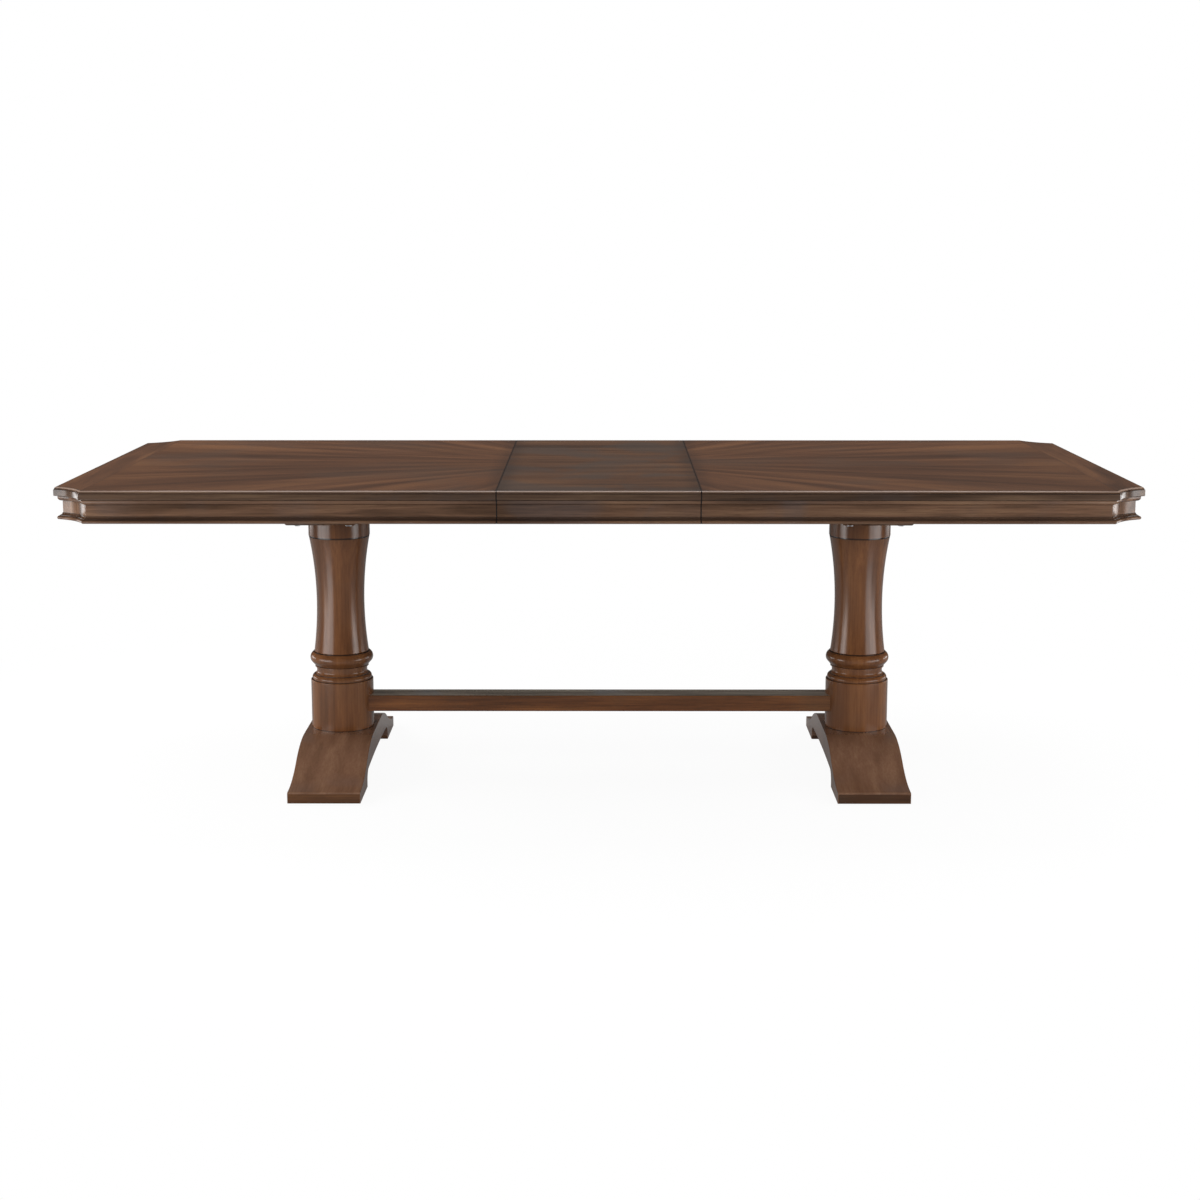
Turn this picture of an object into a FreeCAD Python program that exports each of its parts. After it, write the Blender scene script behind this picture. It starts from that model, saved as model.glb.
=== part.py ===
"""An extending dining table on two turned pedestals, with one removable leaf in place.

The frame is millimetres with +X along the table, +Y away from the front, +Z up, and its origin on the
floor under the middle of the top. Two half tops run on geared wooden slides over a fixed base, and the
leaf fills the space between them.
"""
import FreeCAD, Part
import math
import operator
import os
import Sketcher

# Driving dimensions in millimetres
SIZES = {
    # The table as a whole
    "table_length": 2448.0,
    "table_width": 1067.0,
    "table_height": 762.0,
    "leaf_width": 454.0,
    "joint_gap": 0.5,
    "seat_gap": 0.3,
    "slide_travel": 60.0,
    "overrun": 5.0,
    # The top panels
    "panel_thickness": 21.0,
    "nose_round": 6.5,
    "nose_ledge": 1.5,
    "nose_under_round": 2.0,
    "notch_radius": 135.0,
    "notch_centre_out": 50.0,
    # The moulded aprons under the top
    "apron_setback": 17.5,
    "apron_height": 53.5,
    "apron_thickness": 20.0,
    "ovolo_reach": 10.0,
    "bead_reach": 12.0,
    "bead_rise": 8.0,
    "quirk": 1.5,
    "glue_block_length": 40.0,
    "glue_block_size": 18.0,
    "glue_block_inset": 60.0,
    "glue_block_end_inset": 160.0,
    # The pedestals
    "pedestal_spacing": 1292.0,
    "foot_length": 744.0,
    "foot_height": 98.0,
    "foot_side_ledge": 8.5,
    "foot_flat_ledge": 7.5,
    "toe_height": 28.0,
    "toe_length": 146.0,
    "toe_round": 4.0,
    "arch_height": 44.0,
    "arch_spring": 11.0,
    "arch_round": 28.0,
    "glide_drop": 1.5,
    "glide_thickness": 5.0,
    "glide_radius": 11.0,
    "glide_inset": 32.0,
    # The turned columns, from the foot upwards
    "base_radius": 77.5,
    "base_height": 119.5,
    "base_round": 2.5,
    "step_width": 1.5,
    "low_ring_radius": 73.5,
    "low_ring_rise": 11.5,
    "low_ring_curve": 9.0,
    "neck_shoulder_radius": 68.0,
    "neck_radius": 62.5,
    "neck_rise": 9.5,
    "neck_curve": 9.0,
    "neck_height": 8.0,
    "fillet_radius": 66.5,
    "fillet_height": 3.0,
    "ring_foot_radius": 65.5,
    "ring_taper_rise": 11.5,
    "ring_belly_radius": 75.5,
    "ring_belly_rise": 22.5,
    "ring_curve": 16.0,
    "ring_top_radius": 70.0,
    "lip_radius": 69.5,
    "lip_height": 2.0,
    "shaft_foot_radius": 67.5,
    "waist_radius": 58.9,
    "shaft_top_radius": 74.5,
    "groove_radius": 72.5,
    "groove_height": 3.0,
    "collar_radius": 75.5,
    "collar_height": 70.5,
    # The boards on the columns
    "board_width": 164.0,
    "board_overhang": 44.0,
    "board_thickness": 30.0,
    "board_chamfer": 3.0,
    # The stretcher and its joints
    "stretcher_depth": 70.0,
    "stretcher_height": 40.0,
    "stretcher_bottom": 141.0,
    "tenon_side_shoulder": 10.0,
    "tenon_top_shoulder": 8.0,
    "tenon_length": 31.0,
    "stretcher_bolt_inset": 10.0,
    "stretcher_bolt_sink": 18.5,
    "stretcher_bolt_bite": 47.5,
    "counterbore_radius": 9.5,
    "plug_thickness": 8.0,
    "barrel_nut_radius": 5.0,
    "barrel_nut_cover": 5.0,
    "barrel_nut_inset": 40.5,
    # The rods, bolts, washers and dowels of the base
    "tie_rod_radius": 6.0,
    "tie_rod_clearance": 0.5,
    "tie_nut_radius": 10.5,
    "tie_nut_height": 10.0,
    "tie_nut_lift": 1.0,
    "tie_washer_radius": 14.0,
    "tie_washer_thickness": 3.0,
    "tie_rod_proud": 3.0,
    "tie_recess_radius": 16.0,
    "dowel_radius": 5.0,
    "dowel_length": 40.0,
    "dowel_offset": 40.0,
    "bolt_radius": 4.0,
    "bolt_head_radius": 7.5,
    "bolt_head_height": 5.5,
    "board_bolt_bite": 25.0,
    "board_bolt_inset": 22.0,
    "washer_radius": 9.0,
    "washer_thickness": 1.6,
    # The geared slides
    "slide_offset": 281.0,
    "fixed_rail_width": 36.0,
    "fixed_rail_height": 40.0,
    "groove_drop": 14.0,
    "slide_groove_height": 12.0,
    "slide_groove_depth": 10.0,
    "slide_gap": 0.5,
    "moving_rail_width": 34.0,
    "moving_rail_lift": 6.0,
    "moving_rail_end_gap": 70.0,
    "rack_margin": 24.0,
    "stop_pin_place": 300.0,
    "stop_pin_radius": 4.0,
    "stop_pin_length": 34.0,
    # The racks and pinions on the slides
    "gear_module": 2.0,
    "gear_addendum": 1.7,
    "gear_dedendum": 2.5,
    "gear_backlash": 0.34,
    "gear_thickness": 10.0,
    "gear_lift": 1.0,
    "gear_headroom": 3.2,
    "tooth_sink": 1.5,
    "rack_seat_width": 8.0,
    "pinion_bore_clearance": 0.08,
    "pinion_pin_radius": 4.0,
    "pinion_pin_depth": 22.0,
    "pinion_head_radius": 7.0,
    "pinion_head_height": 2.5,
    # The screws and battens under the top
    "rack_screw_radius": 2.0,
    "rack_screw_length": 24.0,
    "rack_screw_head_radius": 3.5,
    "rack_screw_head_height": 2.0,
    "rack_screw_inset": 20.0,
    "panel_screw_radius": 2.5,
    "panel_screw_length": 38.0,
    "panel_screw_head_radius": 5.0,
    "panel_screw_head_height": 3.5,
    "panel_screw_recess": 5.6,
    "panel_screw_cover": 6.0,
    "panel_screw_place": 21.5,
    "panel_screw_inset": 40.0,
    "batten_width": 60.0,
    "batten_thickness": 30.0,
    "batten_inset": 124.0,
    "batten_end_gap": 60.5,
    "batten_screw_inset": 50.0,
    "leaf_batten_width": 50.0,
    "leaf_batten_thickness": 20.0,
    "leaf_batten_end_gap": 37.0,
    "leaf_batten_clearance": 0.5,
}

PINION_TEETH = 12
RACK_SCREWS = 4
PANEL_SCREWS = 4
SIDE_GLUE_BLOCKS = 4
HEX_SIDES = 6
# The slope of a rack tooth's flank, and a pinion tooth's widths as shares of its width on the pitch line
FLANK_SLOPE_SHARE = 0.364
TIP_WIDTH_SHARE = 0.52
ROOT_WIDTH_SHARE = 1.35
# How far apart the glue blocks of the end apron and of the leaf lie
END_BLOCK_SHARES = (-0.28, 0.0, 0.28)
LEAF_BLOCK_SHARES = (-0.26, 0.26)
# How far up the shaft its waist lies
WAIST_SHARE = 0.434
# How close two coordinates lie to count as one
SAME_PLACE = 0.01

LEFT, RIGHT = -1, 1
FRONT, REAR = -1, 1
SIDES = {"left": LEFT, "right": RIGHT}
ENDS = {"front": FRONT, "rear": REAR}
OPERATIONS = {"+": operator.add, "-": operator.sub, "*": operator.mul, "/": operator.truediv}
VECTOR = FreeCAD.Vector


class Size:
    """A length with the sheet expression that gives it."""

    def __init__(self, value, text):
        self.value = value
        self.text = text

    def __add__(self, other):
        return combine(self, "+", other)

    def __sub__(self, other):
        return combine(self, "-", other)

    def __mul__(self, other):
        return combine(self, "*", other)

    def __truediv__(self, other):
        return combine(self, "/", other)

    def __rmul__(self, other):
        return combine(other, "*", self)

    def __neg__(self):
        return combine(-1, "*", self)

    def whole(self):
        return Size(math.floor(self.value), "floor(" + self.text + ")")


def combine(first, sign, second):
    """One size from two, as a value and as an expression."""
    if not isinstance(first, Size):
        first = Size(first, repr(first))
    if not isinstance(second, Size):
        second = Size(second, repr(second))
    value = OPERATIONS[sign](first.value, second.value)
    return Size(value, "(" + first.text + " " + sign + " " + second.text + ")")


class Dimensions:
    """The driving dimensions by name."""


ZERO = Size(0.0, "0")
PI = Size(math.pi, "pi")
dim = Dimensions()
doc = FreeCAD.newDocument("dining_table")
sheet = doc.addObject("Spreadsheet::Sheet", "sizes")
for row, (size_name, size_value) in enumerate(SIZES.items(), 1):
    sheet.set("A%d" % row, size_name)
    sheet.set("B%d" % row, str(size_value))
    sheet.setAlias("B%d" % row, size_name)
    setattr(dim, size_name, Size(size_value, "sizes." + size_name))
doc.recompute()

nodes = {}

# Places worked out from the driving dimensions, the top first
half_length = dim.table_length / 2
half_width = dim.table_width / 2
joint_x = dim.leaf_width / 2
leaf_half = joint_x - dim.joint_gap
panel_bottom = dim.table_height - dim.panel_thickness
leaf_bottom = panel_bottom + dim.seat_gap
apron_bottom = panel_bottom - dim.apron_height
apron_back = dim.apron_setback + dim.apron_thickness
batten_x = half_length - dim.batten_inset
batten_half = half_width - apron_back - dim.batten_end_gap
# The slides hang under the top, and the boards and columns under the slides
gear_top = panel_bottom - dim.gear_headroom - dim.pinion_head_height - dim.seat_gap
gear_bottom = gear_top - dim.gear_thickness
rail_top = gear_bottom - dim.gear_lift
board_top = rail_top - dim.fixed_rail_height
board_bottom = board_top - dim.board_thickness
moving_rail_bottom = board_top + dim.moving_rail_lift
moving_rail_reach = batten_x - dim.batten_width / 2 - dim.moving_rail_end_gap
lane_near = dim.fixed_rail_width / 2 + dim.slide_gap
lane_far = lane_near + dim.moving_rail_width
panel_screw_seat = dim.table_height - dim.panel_screw_cover - dim.panel_screw_length
# The pedestals
pedestal_x = dim.pedestal_spacing / 2
foot_half_width = dim.base_radius + dim.foot_side_ledge
board_half_width = dim.board_width / 2
fixed_rail_half = pedestal_x + board_half_width
board_half = dim.slide_offset + dim.board_overhang
board_bolt_x = board_half_width - dim.board_bolt_inset
base_top = dim.foot_height + dim.base_height
# The stretcher's joints, by their distance from a column's middle
stretcher_middle = dim.stretcher_bottom + dim.stretcher_height / 2
tenon_half = dim.stretcher_depth / 2 - dim.tenon_side_shoulder
stretcher_bolt_y = tenon_half - dim.stretcher_bolt_inset
stretcher_bolt_seat = dim.base_radius - dim.stretcher_bolt_sink
# The gears
tooth_pitch = PI * dim.gear_module
pitch_radius = dim.gear_module * PINION_TEETH / 2
tooth_half = (tooth_pitch / 2 - dim.gear_backlash) / 2


def bind(thing, prop, size):
    thing.setExpression(prop, size.text)


def move(thing, x, y, z):
    """Binds a thing's place to three sizes."""
    bind(thing, "Placement.Base.x", x)
    bind(thing, "Placement.Base.y", y)
    bind(thing, "Placement.Base.z", z)
    return thing


def keep(label, thing):
    """Names a finished piece and keeps it for its file."""
    thing.Label = label
    nodes[label] = thing
    return thing


def block(name, x, y, bottom, span_x, span_y, height):
    """A box by the middle of its plan, its bottom and its three spans."""
    box = doc.addObject("Part::Box", name)
    bind(box, "Length", span_x)
    bind(box, "Width", span_y)
    bind(box, "Height", height)
    return move(box, x - span_x / 2, y - span_y / 2, bottom)


def upright(name, radius, x, y, bottom, height):
    """A cylinder that stands on its bottom."""
    cylinder = doc.addObject("Part::Cylinder", name)
    bind(cylinder, "Radius", radius)
    bind(cylinder, "Height", height)
    return move(cylinder, x, y, bottom)


def lying(name, radius, low_x, y, z, length):
    """A cylinder that lies along X."""
    cylinder = doc.addObject("Part::Cylinder", name)
    bind(cylinder, "Radius", radius)
    bind(cylinder, "Height", length)
    cylinder.Placement = FreeCAD.Placement(VECTOR(), FreeCAD.Rotation(VECTOR(0, 1, 0), 90))
    return move(cylinder, low_x, y, z)


def hexagon(name, radius, x, y, bottom, height):
    """A six-sided head or nut that stands on its bottom."""
    prism = doc.addObject("Part::Prism", name)
    prism.Polygon = HEX_SIDES
    bind(prism, "Circumradius", radius)
    bind(prism, "Height", height)
    return move(prism, x, y, bottom)


def together(name, things):
    """Separate solids as one group."""
    compound = doc.addObject("Part::Compound", name)
    compound.Links = things
    return compound


def fused(name, things):
    fusion = doc.addObject("Part::MultiFuse", name)
    fusion.Shapes = things
    return fusion


def cut(name, base, *tools):
    """A piece less each tool in turn."""
    for number, tool in enumerate(tools):
        result = doc.addObject("Part::Cut", "%s_cut_%d" % (name, number))
        result.Base = base
        result.Tool = tool
        base = result
    return base


def common(name, first, second):
    result = doc.addObject("Part::Common", name)
    result.Base = first
    result.Tool = second
    return result


def new_body(name):
    return doc.addObject("PartDesign::Body", name)


def sketch_on(body, name, plane, offset):
    """An empty sketch on one of the body's own planes, moved by an offset in that plane's axes."""
    sketch = body.newObject("Sketcher::SketchObject", name)
    for feature in body.Origin.OriginFeatures:
        if feature.Role == plane:
            sketch.AttachmentSupport = (feature, [""])
    sketch.MapMode = "FlatFace"
    for axis, size in zip("xyz", offset):
        bind(sketch, "AttachmentOffset.Base." + axis, size)
    return sketch


def step(x, y):
    """A straight step of an outline, to a point."""
    return {"to": (x, y)}


def bend(x, y, towards_x, towards_y, radius):
    """A step of an outline to a point, along a short arc that curves towards a second point."""
    return {"to": (x, y), "towards": (towards_x, towards_y), "radius": radius}


def flat_point(pair):
    return VECTOR(pair[0].value, pair[1].value, 0)


def arc_between(start, end, towards, radius):
    """The short arc of a radius that curves towards a point, and which of its ends the first point is."""
    chord = end - start
    middle = start + chord / 2
    across = VECTOR(-chord.y, chord.x, 0).normalize()
    forwards = across.dot(towards - middle) > 0
    reach = math.sqrt(radius * radius - chord.Length * chord.Length / 4)
    centre = middle + across * (reach if forwards else -reach)
    first, second = (start, end) if forwards else (end, start)
    spoke = first - centre
    turn = math.atan2(spoke.y, spoke.x)
    circle = Part.Circle(centre, VECTOR(0, 0, 1), radius)
    arc = Part.ArcOfCircle(circle, turn, turn + spoke.getAngle(second - centre))
    return arc, (1, 2) if forwards else (2, 1)


def point_holds(geometry, end, pair):
    """What holds a point of an outline in both directions, each with the size that drives it."""
    held = []
    for kind, axis, size in (("DistanceX", -2, pair[0]), ("DistanceY", -1, pair[1])):
        if size.text == ZERO.text:
            held.append((Sketcher.Constraint("PointOnObject", geometry, end, axis), None))
        else:
            held.append((Sketcher.Constraint(kind, -1, 1, geometry, end, size.value), size))
    return held


def drive(sketch, held):
    """Adds constraints to a sketch and binds those that have a size to it."""
    sketch.addConstraint([constraint for constraint, size in held])
    for index, (constraint, size) in enumerate(held):
        if size is not None:
            bind(sketch, "Constraints[%d]" % index, size)
    return sketch


def draw(sketch, steps):
    """Draws a closed outline and holds every corner and arc at its size."""
    start = flat_point(steps[-1]["to"])
    shapes, ends, held = [], [], []
    for here in steps:
        end = flat_point(here["to"])
        shape = Part.LineSegment(start, end)
        order = (1, 2)
        if "towards" in here:
            shape, order = arc_between(start, end, flat_point(here["towards"]), here["radius"].value)
        shapes.append(shape)
        ends.append(order)
        start = end
    sketch.addGeometry(shapes, False)
    for number, here in enumerate(steps):
        following = (number + 1) % len(steps)
        leave = ends[number][1]
        joined = Sketcher.Constraint("Coincident", number, leave, following, ends[following][0])
        held.append((joined, None))
        held.extend(point_holds(number, leave, here["to"]))
        if "radius" in here:
            held.append((Sketcher.Constraint("Radius", number, here["radius"].value), here["radius"]))
    return drive(sketch, held)


def rectangle(low_x, low_y, high_x, high_y):
    return [step(low_x, low_y), step(high_x, low_y), step(high_x, high_y), step(low_x, high_y)]


def disc(sketch, radius):
    """A circle about the sketch's own middle."""
    sketch.addGeometry(Part.Circle(VECTOR(), VECTOR(0, 0, 1), radius.value), False)
    centred = Sketcher.Constraint("Coincident", 0, 3, -1, 1)
    return drive(sketch, [(centred, None), (Sketcher.Constraint("Radius", 0, radius.value), radius)])


def pad(body, name, sketch, length, midplane=False):
    feature = body.newObject("PartDesign::Pad", name)
    feature.Profile = sketch
    bind(feature, "Length", length)
    feature.Midplane = midplane
    return feature


def revolve(body, name, sketch, kind):
    """A full turn of a sketch about its upright axis, added or taken away."""
    feature = body.newObject(kind, name)
    feature.Profile = sketch
    feature.ReferenceAxis = (sketch, ["V_Axis"])
    feature.Angle = 360
    return feature


def soften(body, name, feature, radius, chosen, kind="PartDesign::Fillet", prop="Radius"):
    """Rounds or bevels the edges whose middles are chosen by place."""
    doc.recompute()
    names = []
    for number, edge in enumerate(feature.Shape.Edges, 1):
        if chosen(edge.CenterOfMass):
            names.append("Edge%d" % number)
    finish = body.newObject(kind, name)
    finish.Base = (feature, names)
    bind(finish, prop, radius)
    return finish


def near(first, second):
    return abs(first - second) < SAME_PLACE


def moulding(rise):
    """The outside of an apron from the bottom up: how far it stands out from the face, and its height."""
    bead = dim.bead_rise / 2
    bead_middle = dim.bead_reach - bead
    cove_start = bead_middle - dim.quirk
    cove = cove_start - dim.quirk
    cove_bottom = dim.bead_rise + dim.quirk
    cove_top = cove_bottom + cove
    ovolo = dim.ovolo_reach - dim.quirk
    ovolo_top = rise - dim.quirk * 2
    ovolo_bottom = ovolo_top - ovolo
    shelf = rise - dim.quirk
    return [
        step(bead_middle, ZERO),
        bend(dim.bead_reach, bead, bead_middle, bead, bead),
        bend(bead_middle, dim.bead_rise, bead_middle, bead, bead),
        step(cove_start, dim.bead_rise),
        step(cove_start, cove_bottom),
        bend(dim.quirk, cove_top, cove_start, cove_top, cove),
        step(ZERO, cove_top),
        step(ZERO, ovolo_bottom),
        step(dim.quirk, ovolo_bottom),
        bend(dim.ovolo_reach, ovolo_top, dim.quirk, ovolo_top, ovolo),
        step(dim.ovolo_reach, shelf),
        step(ovolo, shelf),
        step(ovolo, rise),
    ]


def nose(top):
    """The outside of a top panel in the same terms: a plain edge, then a rounding behind a small ledge."""
    under = dim.nose_under_round
    ledge = top - dim.nose_round
    inside = -dim.nose_ledge - dim.nose_round
    return [
        step(-under, ZERO),
        bend(ZERO, under, -under, under, under),
        step(ZERO, ledge),
        step(-dim.nose_ledge, ledge),
        bend(inside, top, inside, ledge, dim.nose_round),
    ]


def carried(steps, across, up):
    """The same outline with both its coordinates carried to another place."""
    result = []
    for here in steps:
        there = {"to": (across(here["to"][0]), up(here["to"][1]))}
        if "radius" in here:
            there["towards"] = (across(here["towards"][0]), up(here["towards"][1]))
            there["radius"] = here["radius"]
        result.append(there)
    return result


def backwards(steps):
    """The same outline from its last point to its first."""
    result = [step(*steps[-1]["to"])]
    for here, before in zip(reversed(steps), reversed(steps[:-1])):
        result.append({**here, "to": before["to"]})
    return result


def waste(outline, out_at, far, bottom, top):
    """The section of what is cut away outside an outline, as far as a place beyond it."""
    flank = carried(outline, out_at, lambda up: bottom + up)
    below = bottom - dim.overrun
    above = top + dim.overrun
    closing = [step(flank[-1]["to"][0], above), step(far, above), step(far, below)]
    return flank + closing + [step(flank[0]["to"][0], below)]


def notch_centre(side, end):
    """The middle of a corner's cove, outside the table's corner, in the axes of an upright sketch."""
    return (side * (half_length + dim.notch_centre_out), ZERO, -end * (half_width + dim.notch_centre_out))


def scoop(body, name, side, end, outline, radius, bottom, top):
    """Cuts a coved corner with a turned tool that has the outline's own shape."""
    sketch = sketch_on(body, name + "_sketch", "XZ_Plane", notch_centre(side, end))
    draw(sketch, waste(outline, lambda out: radius - out, ZERO, bottom, top))
    return revolve(body, name, sketch, "PartDesign::Groove")


def run_panel(body, name, low_x, high_x, bottom):
    """A panel whose front and rear edges have the nose's outline, run along the table."""
    sketch = sketch_on(body, name + "_section", "YZ_Plane", (ZERO, ZERO, low_x))
    outline = nose(dim.table_height - bottom)
    rear = carried(outline, lambda out: half_width + out, lambda up: bottom + up)
    front = carried(outline, lambda out: -half_width - out, lambda up: bottom + up)
    draw(sketch, rear + backwards(front))
    return pad(body, name + "_run", sketch, high_x - low_x)


def make_panel(name, side):
    """A half top: a panel with a moulded nose on three sides and two coved corners."""
    body = new_body(name + "_body")
    ends = (joint_x, half_length) if side == RIGHT else (-half_length, -joint_x)
    run_panel(body, name, *ends, panel_bottom)
    outline = nose(dim.panel_thickness)
    sketch = sketch_on(body, name + "_end_section", "XZ_Plane", (ZERO, ZERO, ZERO))
    far = side * (half_length + dim.overrun)
    draw(sketch, waste(outline, lambda out: side * (half_length + out), far, panel_bottom, dim.table_height))
    trim = body.newObject("PartDesign::Pocket", name + "_end_nose")
    trim.Profile = sketch
    bind(trim, "Length", dim.table_width + dim.overrun * 2)
    trim.Midplane = True
    for end_name, end in ENDS.items():
        scoop(body, name + "_" + end_name + "_notch", side, end, outline, dim.notch_radius,
              panel_bottom, dim.table_height)
    return body


def make_leaf_panel():
    body = new_body("leaf_panel_body")
    run_panel(body, "leaf_panel", -leaf_half, leaf_half, leaf_bottom)
    return body


def apron_outline(out_at, top):
    """A closed section of an apron, with its outside placed by a function of how far it stands out."""
    rise = top - apron_bottom
    outside = carried(moulding(rise), out_at, lambda up: apron_bottom + up)
    back = out_at(-dim.apron_thickness)
    return outside + [step(back, top), step(back, apron_bottom)]


def make_side_apron(name, low_x, high_x, end, top):
    """A straight apron along the front or rear of the top."""
    body = new_body(name + "_body")
    sketch = sketch_on(body, name + "_section", "YZ_Plane", (ZERO, ZERO, low_x))
    draw(sketch, apron_outline(lambda out: end * (half_width - dim.apron_setback + out), top))
    pad(body, name + "_run", sketch, high_x - low_x)
    return body


def scoop_apron(body, name, side, end):
    scoop(body, name, side, end, moulding(dim.apron_height), dim.notch_radius + dim.apron_setback,
          apron_bottom, panel_bottom)


def make_end_apron(name, side):
    """The apron across the end of a half top, coved away at both corners."""
    body = new_body(name + "_body")
    sketch = sketch_on(body, name + "_section", "XZ_Plane", (ZERO, ZERO, -half_width))
    draw(sketch, apron_outline(lambda out: side * (half_length - dim.apron_setback + out), panel_bottom))
    pad(body, name + "_run", sketch, dim.table_width)
    for end_name, end in ENDS.items():
        scoop_apron(body, name + "_" + end_name + "_cove", side, end)
    return body


def make_corner_apron(name, side, end):
    """The coved block between two aprons, as a turned ring cut to its corner."""
    body = new_body(name + "_body")
    sketch = sketch_on(body, name + "_section", "XZ_Plane", notch_centre(side, end))
    radius = dim.notch_radius + dim.apron_setback
    draw(sketch, apron_outline(lambda out: radius - out, panel_bottom))
    revolve(body, name + "_ring", sketch, "PartDesign::Revolution")
    span = radius
    middle = apron_back + span / 2
    corner = block(name + "_corner", side * (half_length - middle), end * (half_width - middle),
                   apron_bottom - dim.overrun, span, span, dim.apron_height + dim.overrun * 2)
    return common(name + "_piece", body, corner)


def make_foot(name, side):
    """A foot with an ogee top, standing on two toes with an arch between them."""
    body = new_body(name + "_body")
    sketch = sketch_on(body, name + "_outline", "YZ_Plane", (ZERO, ZERO, side * pedestal_x))
    toe = dim.foot_length / 2
    flat = dim.base_radius + dim.foot_flat_ledge
    run = (toe - flat) / 2
    fall = (dim.foot_height - dim.toe_height) / 2
    curve = (run * run + fall * fall) / (fall * 2)
    half_way = toe - run
    half_height = dim.toe_height + fall
    heel = toe - dim.toe_length
    shoulder = heel - dim.arch_round
    shoulder_height = dim.arch_spring + dim.arch_round
    rise = dim.arch_height - shoulder_height
    crown = (shoulder * shoulder + rise * rise) / (rise * 2)
    floor = dim.glide_drop
    draw(sketch, [
        step(toe, dim.toe_height),
        bend(half_way, half_height, toe, dim.toe_height + curve, curve),
        bend(flat, dim.foot_height, flat, dim.foot_height - curve, curve),
        step(-flat, dim.foot_height),
        bend(-half_way, half_height, -flat, dim.foot_height - curve, curve),
        bend(-toe, dim.toe_height, -toe, dim.toe_height + curve, curve),
        step(-toe, floor),
        step(-heel, floor),
        step(-heel, dim.arch_spring),
        bend(-shoulder, shoulder_height, -shoulder, dim.arch_spring, dim.arch_round),
        bend(shoulder, shoulder_height, ZERO, dim.arch_height - crown, crown),
        bend(heel, dim.arch_spring, shoulder, dim.arch_spring, dim.arch_round),
        step(heel, floor),
        step(toe, floor),
    ])
    blank = pad(body, name + "_blank", sketch, foot_half_width * 2, midplane=True)

    def toe_edge(middle):
        return near(abs(middle.y), toe.value) and near(middle.z, dim.toe_height.value)

    soften(body, name + "_toe_round", blank, dim.toe_round, toe_edge)
    return body


def flare_radius(rise, reach):
    """The radius of an arc that leaves straight up and ends this far up and this far out."""
    return (rise * rise + reach * reach) / (reach * 2)


def make_column(name, side):
    """A turned column, from the plain drum on the foot to the collar under its board."""
    body = new_body(name + "_body")
    sketch = sketch_on(body, name + "_half", "XZ_Plane", (ZERO, ZERO, ZERO))
    ledge = dim.step_width
    drum_top = base_top + dim.base_round
    drum_edge = dim.base_radius - dim.base_round
    ring_low = drum_top + ledge
    ring_high = ring_low + dim.low_ring_rise
    neck_low = ring_high + ledge
    neck_high = neck_low + dim.neck_rise
    fillet_low = neck_high + dim.neck_height
    fillet_high = fillet_low + dim.fillet_height
    belly_low = fillet_high + dim.ring_taper_rise
    belly_high = belly_low + dim.ring_belly_rise
    lip_low = belly_high + ledge
    shaft_low = lip_low + dim.lip_height
    collar_low = board_bottom - dim.collar_height
    shaft_high = collar_low - dim.groove_height
    low_rise = (shaft_high - shaft_low) * WAIST_SHARE
    waist = shaft_low + low_rise
    low_curve = flare_radius(low_rise, dim.shaft_foot_radius - dim.waist_radius)
    high_curve = flare_radius(shaft_high - waist, dim.shaft_top_radius - dim.waist_radius)
    draw(sketch, [
        step(dim.base_radius, dim.foot_height),
        step(dim.base_radius, base_top),
        bend(drum_edge, drum_top, drum_edge, base_top, dim.base_round),
        step(dim.low_ring_radius, drum_top),
        step(dim.low_ring_radius, ring_low),
        bend(dim.neck_shoulder_radius, ring_high, dim.neck_radius, ring_low, dim.low_ring_curve),
        step(dim.neck_shoulder_radius - ledge, ring_high),
        step(dim.neck_shoulder_radius - ledge, neck_low),
        bend(dim.neck_radius, neck_high, dim.base_radius, neck_high, dim.neck_curve),
        step(dim.neck_radius, fillet_low),
        step(dim.fillet_radius, fillet_low),
        step(dim.fillet_radius, fillet_high),
        step(dim.ring_foot_radius, fillet_high),
        step(dim.ring_belly_radius, belly_low),
        bend(dim.ring_top_radius, belly_high, dim.neck_radius, belly_low, dim.ring_curve),
        step(dim.shaft_foot_radius, belly_high),
        step(dim.shaft_foot_radius, lip_low),
        step(dim.lip_radius, lip_low),
        step(dim.shaft_foot_radius, shaft_low),
        bend(dim.waist_radius, waist, dim.waist_radius + low_curve, waist, low_curve),
        bend(dim.shaft_top_radius, shaft_high, dim.waist_radius + high_curve, waist, high_curve),
        step(dim.groove_radius, shaft_high),
        step(dim.groove_radius, collar_low),
        step(dim.collar_radius, collar_low),
        step(dim.collar_radius, board_bottom),
        step(ZERO, board_bottom),
        step(ZERO, dim.foot_height),
    ])
    revolve(body, name + "_turning", sketch, "PartDesign::Revolution")
    bind(body, "Placement.Base.x", side * pedestal_x)
    return body


def make_board(name, side):
    """The board across the top of a column, which carries the slides."""
    body = new_body(name + "_body")
    sketch = sketch_on(body, name + "_plan", "XY_Plane", (side * pedestal_x, ZERO, board_bottom))
    draw(sketch, rectangle(-board_half_width, -board_half, board_half_width, board_half))
    slab = pad(body, name + "_slab", sketch, dim.board_thickness)

    def low_edge(middle):
        return near(middle.z, board_bottom.value)

    soften(body, name + "_bevel", slab, dim.board_chamfer, low_edge, "PartDesign::Chamfer", "Size")
    return body


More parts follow.
